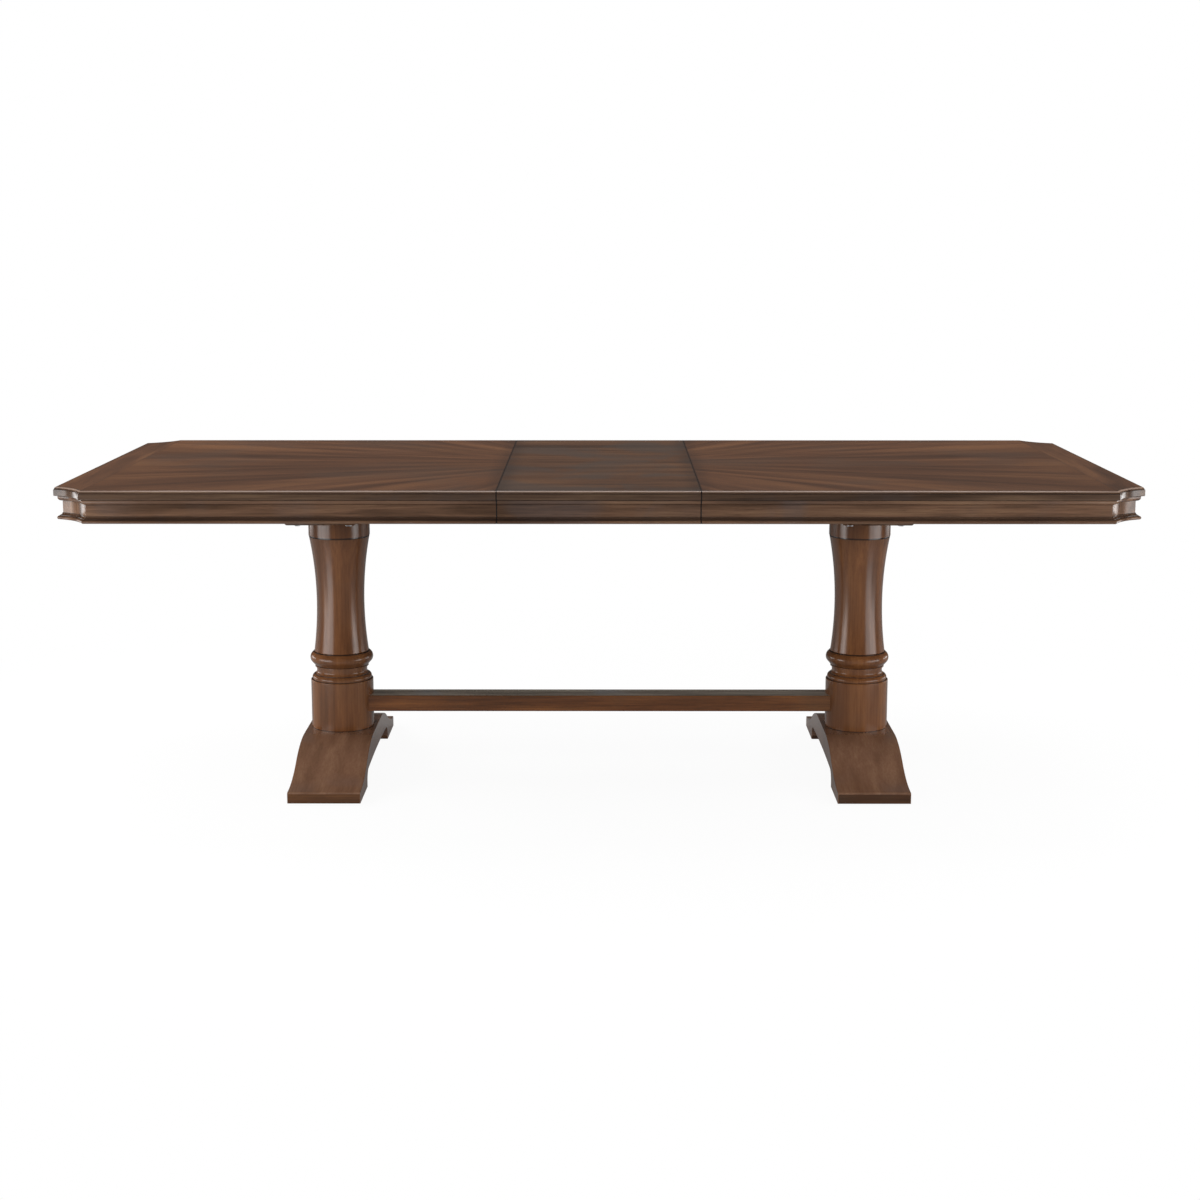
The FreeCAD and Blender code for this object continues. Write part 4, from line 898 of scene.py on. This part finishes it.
class Finish(Nodes):
    """A material, with its shader and its object coordinates."""

    def __init__(self, name):
        self.material = bpy.data.materials.new(name)
        self.material.use_nodes = True
        super().__init__(self.material.node_tree)
        self.shader = self.tree.nodes["Principled BSDF"]
        self.where = self.node("TexCoord").outputs["Object"]

    def bump(self, height, strength, distance):
        made = self.node("Bump", {"Height": height, "Strength": strength, "Distance": distance})
        return made.outputs["Normal"]

    def wear(self, **sockets):
        """Feeds the shader's own sockets, whose names are given in words with underscores."""
        for name, value in sockets.items():
            self.feed(self.shader.inputs[name.replace("_", " ")], value)
        return self.material


def wood_colour(finish, coarse, fine, pores):
    """Stained wood's colour from its broad figure, its fine streaks and its pores."""
    wood = settings("table_wood")
    figure = finish.ramp(coarse, list(zip(FIGURE_PLACES, (wood.deep, wood.body, wood.warm))))
    streaked = finish.mix(1.0, figure, finish.ramp(fine, STREAK_STOPS), "MULTIPLY")
    return finish.mix(PORE_SHARE, streaked, finish.ramp(pores, PORE_STOPS), "MULTIPLY")


def lacquer(finish, tone, tint, relief, lines=()):
    """A satin lacquer over a tinted colour, with painted highlight, painted shade and joint lines across
    it, and the grain's faint relief.
    """
    wood = settings("table_wood")
    tinted = finish.mix(1.0, tone, tint, "MULTIPLY")
    return finish.wear(Base_Color=lined(finish, tinted, lines), Normal=finish.bump(relief, *LACQUER_RELIEF),
                       Roughness=wood.roughness, Specular_IOR_Level=wood.gloss)


def apron_painted_light_and_joint():
    """The lines of aprons and panels' edges, a painted highlight on the nose, painted shade in the cove,
    over the bead and in the quirks, and the leaf's dark joint: the axis, place, half width, strength and
    colour of each.
    """
    apron = settings("table_apron")
    top = settings("table_top")
    wood = settings("table_wood")
    low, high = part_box("left_front_apron")
    table_high = cad_box[1][2]
    cove_low = low.z + apron.bead_rise
    cove_top = cove_low + apron.bead_reach - apron.bead_rise / 2 - apron.quirk
    line = apron.quirk * QUIRK_LINE_SHARE
    depth, reach = NOSE_HIGHLIGHT_SHARES
    return (
        # A painted highlight: a light line along the nose's rounding, standing in for a reflection.
        ("Z", table_high - top.nose_round * depth, top.nose_round * reach, PAINTED_HIGHLIGHT_SHARE, wood.painted_nose_highlight),
        # Painted shade: dark bands in the cove, over the bead, in the quirks and under the nose's ledge.
        ("Z", (cove_low + cove_top) / 2, (cove_top - cove_low) / 2 + line, COVE_SHADE_SHARE, wood.glaze_and_painted_shade),
        ("Z", cove_low, apron.bead_rise / 2, BEAD_SHADE_SHARE, wood.glaze_and_painted_shade),
        ("Z", high.z - apron.ovolo_reach - apron.quirk, line, QUIRK_SHADE_SHARE, wood.glaze_and_painted_shade),
        ("Z", high.z - apron.quirk / 2, line, QUIRK_SHADE_SHARE, wood.glaze_and_painted_shade),
        ("Z", table_high - top.nose_round, line, QUIRK_SHADE_SHARE, wood.glaze_and_painted_shade),
        ("X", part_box("leaf_panel")[1].x, top.nose_ledge, 1.0, wood.glaze_and_painted_shade),
    )


def column_painted_shade():
    """The same for the columns, all painted shade: at their foot, at the steps between their rings and in
    the groove at the collar.
    """
    size = settings("table_column")
    glaze_and_painted_shade = settings("table_wood").glaze_and_painted_shade
    low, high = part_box("left_column")
    lines = [("Z", low.z, size.ledge, COLUMN_FOOT_SHADE_SHARE, glaze_and_painted_shade)]
    level = low.z + size.base_height + size.base_round
    for rise in (size.low_ring_rise, size.neck_rise + size.neck_height + size.fillet_height,
                 size.ring_taper_rise + size.belly_rise - size.ledge):
        lines.append(("Z", level + size.ledge / 2, size.ledge * RING_LINE_SHARE, RING_SHADE_SHARE, glaze_and_painted_shade))
        level += size.ledge + rise
    lines.append(("Z", level + size.ledge, size.ledge, GROOVE_SHADE_SHARE, glaze_and_painted_shade))
    groove = high.z - size.collar_height - size.groove_height / 2
    lines.append(("Z", groove, size.groove_height * RING_LINE_SHARE, GROOVE_SHADE_SHARE, glaze_and_painted_shade))
    return lines


def lined(finish, tone, lines):
    """A colour with lines across it: painted highlight, painted shade and dark joints."""
    axes = dict(zip("XYZ", finish.axes(finish.where))) if lines else {}
    for axis, place, reach, strength, shade in lines:
        band = finish.math("COMPARE", finish.math("ABSOLUTE", axes[axis]), place, reach)
        tone = finish.mix(finish.math("MULTIPLY", band, strength), tone, shade)
    return tone


def lacquered_wood(name, along, offset, tint, calm, quirks):
    """Stained and lacquered solid wood with its grain along one axis, as calm as its share asks for."""
    finish = Finish(name)
    wood = settings("table_wood")
    moved = finish.node("Mapping", {"Vector": finish.where, "Location": (offset, offset, offset)})
    where = moved.outputs["Vector"]
    coarse, fine, pores = (finish.grain(where, along, layer) for layer in SOLID_GRAIN)
    cool = finish.rise(finish.noise(where, SOLID_PATCHES), *SOLID_PATCH_RANGE)
    tone = finish.mix(cool, wood_colour(finish, coarse, fine, pores), wood.grey)
    return lacquer(finish, finish.mix(calm, tone, wood.body), tint, pores, quirks() if quirks else ())


def veneer_tone(finish, along, across, patch):
    """The veneer's colour and its pores from coordinates along and across its grain."""
    layers = []
    for layer in VENEER_GRAIN:
        place = finish.vector(finish.math("MULTIPLY", along, layer.along),
                              finish.math("MULTIPLY", across, layer.across), 0.0)
        layers.append(finish.noise(place, layer))
    return finish.mix(patch, wood_colour(finish, *layers), settings("table_wood").grey), layers[-1]


def joint_shading(finish, tone, distance):
    """Dark glaze rubbed out from a joint of the top."""
    glaze_and_painted_shade = settings("table_wood").glaze_and_painted_shade
    width = settings("table_top").joint_shade
    start, end = JOINT_FADE_SHARES
    ragged = finish.math("MULTIPLY_ADD", finish.noise(finish.where, RAGGED_EDGE), width, distance)
    shade = finish.rise(ragged, width * start, width * end, JOINT_SHARE, 0.0)
    seam = finish.rise(distance, 0.0, width * SEAM_WIDTH_SHARE, SEAM_SHARE, 0.0)
    return finish.mix(seam, finish.mix(shade, tone, glaze_and_painted_shade), glaze_and_painted_shade)


def half_veneer(name):
    """The half tops' veneer: leaves that fan out from the table's middle, and a band across each end."""
    finish = Finish(name)
    x, y = finish.axes(finish.where)[:2]
    distance = finish.math("ABSOLUTE", x)
    square = finish.math("ADD", finish.math("MULTIPLY", x, x), finish.math("MULTIPLY", y, y))
    turn = finish.math("ARCTAN2", y, distance)
    patch = finish.rise(finish.noise(finish.where, FAN_PATCHES), *FAN_PATCH_RANGE)
    spread = finish.math("MULTIPLY", turn, FAN_SPREAD)
    fan, pores = veneer_tone(finish, finish.math("SQRT", square), spread, patch)
    leaves = finish.math("FLOOR", finish.math("MULTIPLY", turn, FAN_LEAVES))
    leaf = finish.node("TexWhiteNoise", {"W": leaves}, noise_dimensions="1D")
    brightness = finish.rise(leaf.outputs["Value"], *FAN_BRIGHTNESS_RANGE)
    fan = finish.mix(1.0, fan, finish.vector(brightness, brightness, brightness), "MULTIPLY")
    band = veneer_tone(finish, y, x, BAND_PATCH_SHARE)[0]
    edge = cad_box[1][0] - settings("table_top").band_width
    tone = finish.mix(finish.math("GREATER_THAN", distance, edge), fan, band)
    line = finish.math("MULTIPLY", finish.math("COMPARE", distance, edge, BAND_LINE), BAND_LINE_SHARE)
    tone = finish.mix(line, tone, settings("table_wood").glaze_and_painted_shade)
    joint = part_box("right_top_panel")[0].x
    tone = joint_shading(finish, tone, finish.math("SUBTRACT", distance, joint))
    return lacquer(finish, tone, FAN_TINT, pores)


def leaf_veneer(name):
    """The leaf's veneer, straight along the table."""
    finish = Finish(name)
    x, y = finish.axes(finish.where)[:2]
    patch = finish.rise(finish.noise(finish.where, LEAF_PATCHES), *LEAF_PATCH_RANGE)
    tone, pores = veneer_tone(finish, x, y, patch)
    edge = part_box("leaf_panel")[1].x
    tone = joint_shading(finish, tone, finish.math("SUBTRACT", edge, finish.math("ABSOLUTE", x)))
    return lacquer(finish, tone, LEAF_TINT, pores)


def bare_wood(name):
    """Unlacquered hardwood, as on rails, battens and blocks. Its grain runs along the axis in its name."""
    finish = Finish(name)
    wood = settings("table_wood")
    axis = name[-1].upper()
    coarse, fine = (finish.grain(finish.where, axis, layer) for layer in BARE_GRAIN)
    figure = finish.ramp(coarse, list(zip(BARE_PLACES, (wood.bare_dark, wood.bare))))
    tone = finish.mix(BARE_STREAK_SHARE, figure, finish.ramp(fine, BARE_STREAK_STOPS), "MULTIPLY")
    return finish.wear(Base_Color=tone, Normal=finish.bump(fine, *BARE_RELIEF), Roughness=BARE_ROUGHNESS,
                       Specular_IOR_Level=BARE_GLOSS)


def plated_steel(name):
    """Zinc-plated steel with a faint crystal pattern."""
    finish = Finish(name)
    cells = finish.node("TexVoronoi", {"Vector": finish.where, "Scale": STEEL_CELL_SCALE}).outputs["Color"]
    scuffs = finish.noise(finish.where, STEEL_SCUFFS)
    tone = finish.mix(STEEL_CELL_SHARE, STEEL_COLOUR, cells, "MULTIPLY")
    roughness = finish.rise(scuffs, *STEEL_ROUGHNESS_RANGE)
    return finish.wear(Base_Color=tone, Metallic=1.0, Roughness=roughness,
                       Normal=finish.bump(scuffs, *STEEL_RELIEF))


def moulded_plastic(name):
    """Black moulded plastic with a fine texture."""
    finish = Finish(name)
    grain = finish.noise(finish.where, PLASTIC_GRAIN)
    return finish.wear(Base_Color=finish.ramp(grain, PLASTIC_STOPS), Roughness=PLASTIC_ROUGHNESS,
                       Normal=finish.bump(grain, *PLASTIC_RELIEF))


# The lacquered finishes: their grain's axis, where in its noise they lie, their tint, how calm the grain
# is, and what gives their lines of painted highlight, painted shade and dark joints
LACQUERED = {
    "lacquered_x": ("X", 0.0, APRON_TINT, 0.0, apron_painted_light_and_joint),
    "lacquered_y": ("Y", 3.0, APRON_TINT, 0.0, apron_painted_light_and_joint),
    "lacquered_z": ("Z", 7.0, APRON_TINT, 0.0, apron_painted_light_and_joint),
    "nose_wood_x": ("X", 13.0, NOSE_TINT, 0.0, apron_painted_light_and_joint),
    "nose_wood_y": ("Y", 13.0, NOSE_TINT, 0.0, apron_painted_light_and_joint),
    "column_wood": ("Z", 7.0, COLUMN_TINT, 0.35, column_painted_shade),
    "foot_wood": ("Y", 9.0, FOOT_TINT, 0.6, None),
    "end_grain": ("X", 5.0, END_GRAIN_TINT, 0.0, None),
    "stretcher_wood": ("X", 11.0, STRETCHER_TINT, 0.0, None),
    # Painted reflection: the stretcher's top, lighter and greyer.
    "dulled_wood": ("X", 5.0, PAINTED_REFLECTION_TINT, 0.0, None),
}
OTHER_FINISHES = {
    "fanned_veneer": half_veneer,
    "leaf_veneer": leaf_veneer,
    "bare_wood_x": bare_wood,
    "bare_wood_y": bare_wood,
    "plated_steel": plated_steel,
    "moulded_plastic": moulded_plastic,
}


def finish_named(name):
    """A finish by its name, made the first time that it is asked for."""
    if name in bpy.data.materials:
        return bpy.data.materials[name]
    if name in LACQUERED:
        return lacquered_wood(name, *LACQUERED[name])
    return OTHER_FINISHES[name](name)


def dress(nodes, finish):
    """Gives CAD nodes that keep their shape a finish."""
    for node in nodes:
        coat(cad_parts[node], finish)


# Operators


class DININGTABLE_OT_top(bpy.types.Operator):
    """Model the two half tops and the leaf, with rounded noses and coved corners"""
    bl_idname = "dining_table.top"
    bl_label = "Top Panels"

    def execute(self, context):
        for side_name, side in SIDES.items():
            piece = half_panel(side_name, side)
            place(piece, side_name + "_top", side_name + "_top_panel", "fanned_veneer")
            refinish(piece, lengthways, "nose_wood_x")
            refinish(piece, crossways, "nose_wood_y")
        piece = panel("leaf_panel")
        place(piece, "leaf", "leaf_panel", "leaf_veneer")
        refinish(piece, lengthways, "nose_wood_x")
        return {"FINISHED"}


class DININGTABLE_OT_aprons(bpy.types.Operator):
    """Model the moulded aprons of the halves, the corners and the leaf"""
    bl_idname = "dining_table.aprons"
    bl_label = "Aprons"

    def execute(self, context):
        for side_name, side in SIDES.items():
            body = side_name + "_top"
            node = side_name + "_end_apron"
            place(end_apron("moulded_" + node, node, side), body, node, "lacquered_y")
            for end_name, end in ENDS.items():
                node = "%s_%s_apron" % (side_name, end_name)
                place(side_apron("moulded_" + node, node, end, side), body, node, "lacquered_x")
                node = "%s_%s_corner_apron" % (side_name, end_name)
                place(corner_apron("moulded_" + node, node, side, end), body, node, "lacquered_z")
        for end_name, end in ENDS.items():
            node = "leaf_%s_apron" % end_name
            place(side_apron("moulded_" + node, node, end, 0), "leaf", node, "lacquered_x")
        return {"FINISHED"}


class DININGTABLE_OT_columns(bpy.types.Operator):
    """Turn the two columns"""
    bl_idname = "dining_table.columns"
    bl_label = "Columns"

    def execute(self, context):
        for side_name in SIDES:
            node = side_name + "_column"
            place(column("turned_" + node, side_name), "base", node, "column_wood")
        return {"FINISHED"}


class DININGTABLE_OT_feet(bpy.types.Operator):
    """Shape the two feet"""
    bl_idname = "dining_table.feet"
    bl_label = "Feet"

    def execute(self, context):
        for side_name in SIDES:
            node = side_name + "_foot"
            piece = foot("shaped_" + node, side_name)
            place(piece, "base", node, "foot_wood")
            refinish(piece, toe_face, "end_grain")
        return {"FINISHED"}


class DININGTABLE_OT_stretcher(bpy.types.Operator):
    """Model the stretcher between the columns"""
    bl_idname = "dining_table.stretcher"
    bl_label = "Stretcher"

    def execute(self, context):
        piece = stretcher("eased_stretcher")
        place(piece, "base", "stretcher", "stretcher_wood")
        # The upward faces get a painted reflection: lighter, greyer wood.
        refinish(piece, faces_up, "dulled_wood")
        return {"FINISHED"}


class DININGTABLE_OT_woodwork(bpy.types.Operator):
    """Finish the boards, rails, battens, blocks, dowels and plugs"""
    bl_idname = "dining_table.woodwork"
    bl_label = "Rails and Battens"

    def execute(self, context):
        dress(["left_top_board", "right_top_board"], "lacquered_y")
        dress(["stretcher_bolt_plugs"], "lacquered_z")
        rails = ["front_fixed_rail", "rear_fixed_rail", "leaf_battens", "leaf_glue_blocks"]
        for side_name in SIDES:
            rails += ["%s_%s_slide_rail" % (side_name, end_name) for end_name in ENDS]
        dress(rails, "bare_wood_x")
        dress(["left_cross_batten", "right_cross_batten", "left_glue_blocks", "right_glue_blocks",
               "column_dowels"], "bare_wood_y")
        return {"FINISHED"}


class DININGTABLE_OT_hardware(bpy.types.Operator):
    """Finish the steel hardware and the floor glides"""
    bl_idname = "dining_table.hardware"
    bl_label = "Hardware"

    def execute(self, context):
        steel = ["tie_rods", "tie_rod_nuts", "tie_rod_washers", "board_bolts", "board_washers",
                 "stretcher_bolts", "stretcher_barrel_nuts", "pinion_pins", "stop_pins", "front_pinion",
                 "rear_pinion"]
        for side_name in SIDES:
            steel += [side_name + "_panel_screws", side_name + "_rack_screws"]
            steel += ["%s_%s_rack" % (side_name, end_name) for end_name in ENDS]
        dress(steel, "plated_steel")
        dress(["floor_glides"], "moulded_plastic")
        return {"FINISHED"}


class DININGTABLE_OT_studio(bpy.types.Operator):
    """Set up the floor, the lamps and the camera"""
    bl_idname = "dining_table.studio"
    bl_label = "Studio"

    def execute(self, context):
        lay_floor()
        light_sky()
        for name, spot, aim, width, height, power, mirrored in LAMPS:
            hang_lamp(name, Vector(spot), Vector(aim), width, height, power, mirrored)
        stand_camera()
        return {"FINISHED"}


# The lamps: the name, place, aim, width, height and power of each, and whether the wood mirrors it
LAMPS = (
    ("front_bank", (0.0, -4.4, 1.6), (0.0, 0.0, 0.45), 4.0, 0.6, 94.0, False),
    ("left_strip", (-1.715, -1.235, 0.38), (-1.265, -0.585, 0.98), 0.65, 0.92, 5.4, True),
    ("right_strip", (1.715, -1.235, 0.38), (1.265, -0.585, 0.98), 0.65, 0.92, 4.4, True),
    ("left_low", (-2.5, -0.9, 0.38), (-1.0, -0.3, 0.5), 1.0, 0.7, 7.5, True),
    ("right_low", (2.5, -0.9, 0.38), (1.0, -0.3, 0.5), 1.0, 0.7, 7.5, True),
    ("left_bank", (-2.5, -0.9, 1.6), (-1.0, -0.2, 0.65), 0.8, 1.6, 22.0, False),
    ("right_bank", (2.5, -0.9, 1.6), (1.0, -0.2, 0.65), 0.8, 1.6, 17.0, False),
    ("left_rim", (-3.3, 1.3, 1.8), (-1.1, -0.3, 0.75), 1.8, 1.1, 60.0, False),
    ("right_rim", (3.3, 1.3, 1.8), (1.1, -0.3, 0.75), 1.8, 1.1, 28.0, False),
    ("left_edge", (-3.2, 1.4, 0.45), (-1.2, -0.4, 0.75), 1.6, 0.5, 9.0, True),
    ("right_edge", (3.2, 1.4, 0.45), (1.2, -0.4, 0.75), 1.6, 0.5, 9.0, True),
    ("overhead_bank", (0.0, 0.9, 3.4), (0.0, 0.0, 0.7), 3.6, 2.0, 62.0, True),
)
FLOOR_SIZE = 60.0
SENSOR_WIDTH = 36.0


def lay_floor():
    """A wide floor, plain white to the camera but for a soft shadow, and dimmer to the wood."""
    studio = settings("table_studio")
    clear_selection()
    bpy.ops.mesh.primitive_plane_add(size=FLOOR_SIZE, location=(0, 0, 0))
    floor = called(bpy.context.active_object, "studio_floor")
    finish = Finish("studio_floor")
    rays = finish.node("LightPath").outputs
    seen = finish.seen(rays)
    distance = finish.node("VectorMath", {0: finish.where}, operation="LENGTH").outputs["Value"]
    reach = studio.shadow_reach
    bounce = studio.bounce_share
    shaded = finish.rise(distance, reach / 2, reach, studio.shadow_share, 0.0)
    near = finish.rise(distance, reach / 2, reach, studio.near_share, studio.reflected_share)
    mirrored = finish.math("MULTIPLY", rays["Is Glossy Ray"], near)
    plain = finish.math("MULTIPLY_ADD", seen, finish.math("SUBTRACT", 1.0, shaded), mirrored)
    kept = finish.math("MULTIPLY_ADD", seen, finish.math("SUBTRACT", shaded, bounce), bounce)
    tone = finish.mix(1.0, studio.floor_colour, finish.vector(kept, kept, kept), "MULTIPLY")
    finish.wear(Base_Color=tone, Roughness=1.0, Specular_IOR_Level=0.0, Emission_Color=WHITE,
                Emission_Strength=plain)
    floor.data.materials.append(finish.material)


def light_sky():
    """White all round to the camera, a softer fill on the wood and dim in its reflections."""
    studio = settings("table_studio")
    world = bpy.data.worlds.new("studio_sky")
    bpy.context.scene.world = world
    world.use_nodes = True
    sky = Nodes(world.node_tree)
    rays = sky.node("LightPath").outputs
    mirrored = sky.blend(rays["Is Glossy Ray"], studio.sky_share, studio.reflected_share)
    background = sky.tree.nodes["Background"]
    sky.feed(background.inputs["Color"], WHITE)
    sky.feed(background.inputs["Strength"], sky.blend(sky.seen(rays), mirrored, 1.0))


def hang_lamp(name, spot, aim, width, height, power, mirrored):
    """A soft lamp that points at its aim."""
    data = bpy.data.lights.new(name, "AREA")
    data.shape = "RECTANGLE"
    data.size = width
    data.size_y = height
    data.energy = power
    lamp = bpy.data.objects.new(name, data)
    bpy.context.scene.collection.objects.link(lamp)
    lamp.location = spot
    lamp.rotation_euler = (aim - spot).to_track_quat("-Z", "Y").to_euler()
    lamp.visible_camera = False
    lamp.visible_glossy = mirrored


def stand_camera():
    """The camera where the photograph's stood."""
    studio = settings("table_studio")
    data = bpy.data.cameras.new("studio_camera")
    data.sensor_width = SENSOR_WIDTH
    data.lens = studio.lens
    data.shift_x, data.shift_y = studio.shift
    data.clip_end = FLOOR_SIZE * 2
    camera = bpy.data.objects.new("studio_camera", data)
    bpy.context.scene.collection.objects.link(camera)
    camera.location = studio.camera_place
    camera.rotation_euler = (math.pi / 2 - studio.camera_pitch, 0, studio.camera_turn)
    bpy.context.scene.camera = camera


class DININGTABLE_PT_pieces(bpy.types.Panel):
    """The table's operators and settings in the sidebar."""
    bl_label = "Dining Table"
    bl_idname = "DININGTABLE_PT_pieces"
    bl_space_type = "VIEW_3D"
    bl_region_type = "UI"
    bl_category = "Dining Table"

    def draw(self, context):
        for operator in OPERATORS:
            self.layout.operator(operator.bl_idname)
        for name, group in GROUPS.items():
            box = self.layout.box()
            box.label(text=group.__doc__)
            for field in group.__annotations__:
                box.prop(getattr(context.scene, name), field)


OPERATORS = (
    DININGTABLE_OT_top,
    DININGTABLE_OT_aprons,
    DININGTABLE_OT_columns,
    DININGTABLE_OT_feet,
    DININGTABLE_OT_stretcher,
    DININGTABLE_OT_woodwork,
    DININGTABLE_OT_hardware,
    DININGTABLE_OT_studio,
)


def register():
    for group in GROUPS.values():
        bpy.utils.register_class(group)
    for operator in OPERATORS:
        bpy.utils.register_class(operator)
    bpy.utils.register_class(DININGTABLE_PT_pieces)
    for name, group in GROUPS.items():
        setattr(bpy.types.Scene, name, PointerProperty(type=group))


def unregister():
    for name in GROUPS:
        delattr(bpy.types.Scene, name)
    bpy.utils.unregister_class(DININGTABLE_PT_pieces)
    for operator in reversed(OPERATORS):
        bpy.utils.unregister_class(operator)
    for group in reversed(GROUPS.values()):
        bpy.utils.unregister_class(group)


def main():
    register()
    bpy.context.scene.view_settings.view_transform = "Standard"
    bpy.ops.dining_table.top()
    bpy.ops.dining_table.aprons()
    bpy.ops.dining_table.columns()
    bpy.ops.dining_table.feet()
    bpy.ops.dining_table.stretcher()
    bpy.ops.dining_table.woodwork()
    bpy.ops.dining_table.hardware()
    bpy.ops.dining_table.studio()


if __name__ == "__main__":
    main()
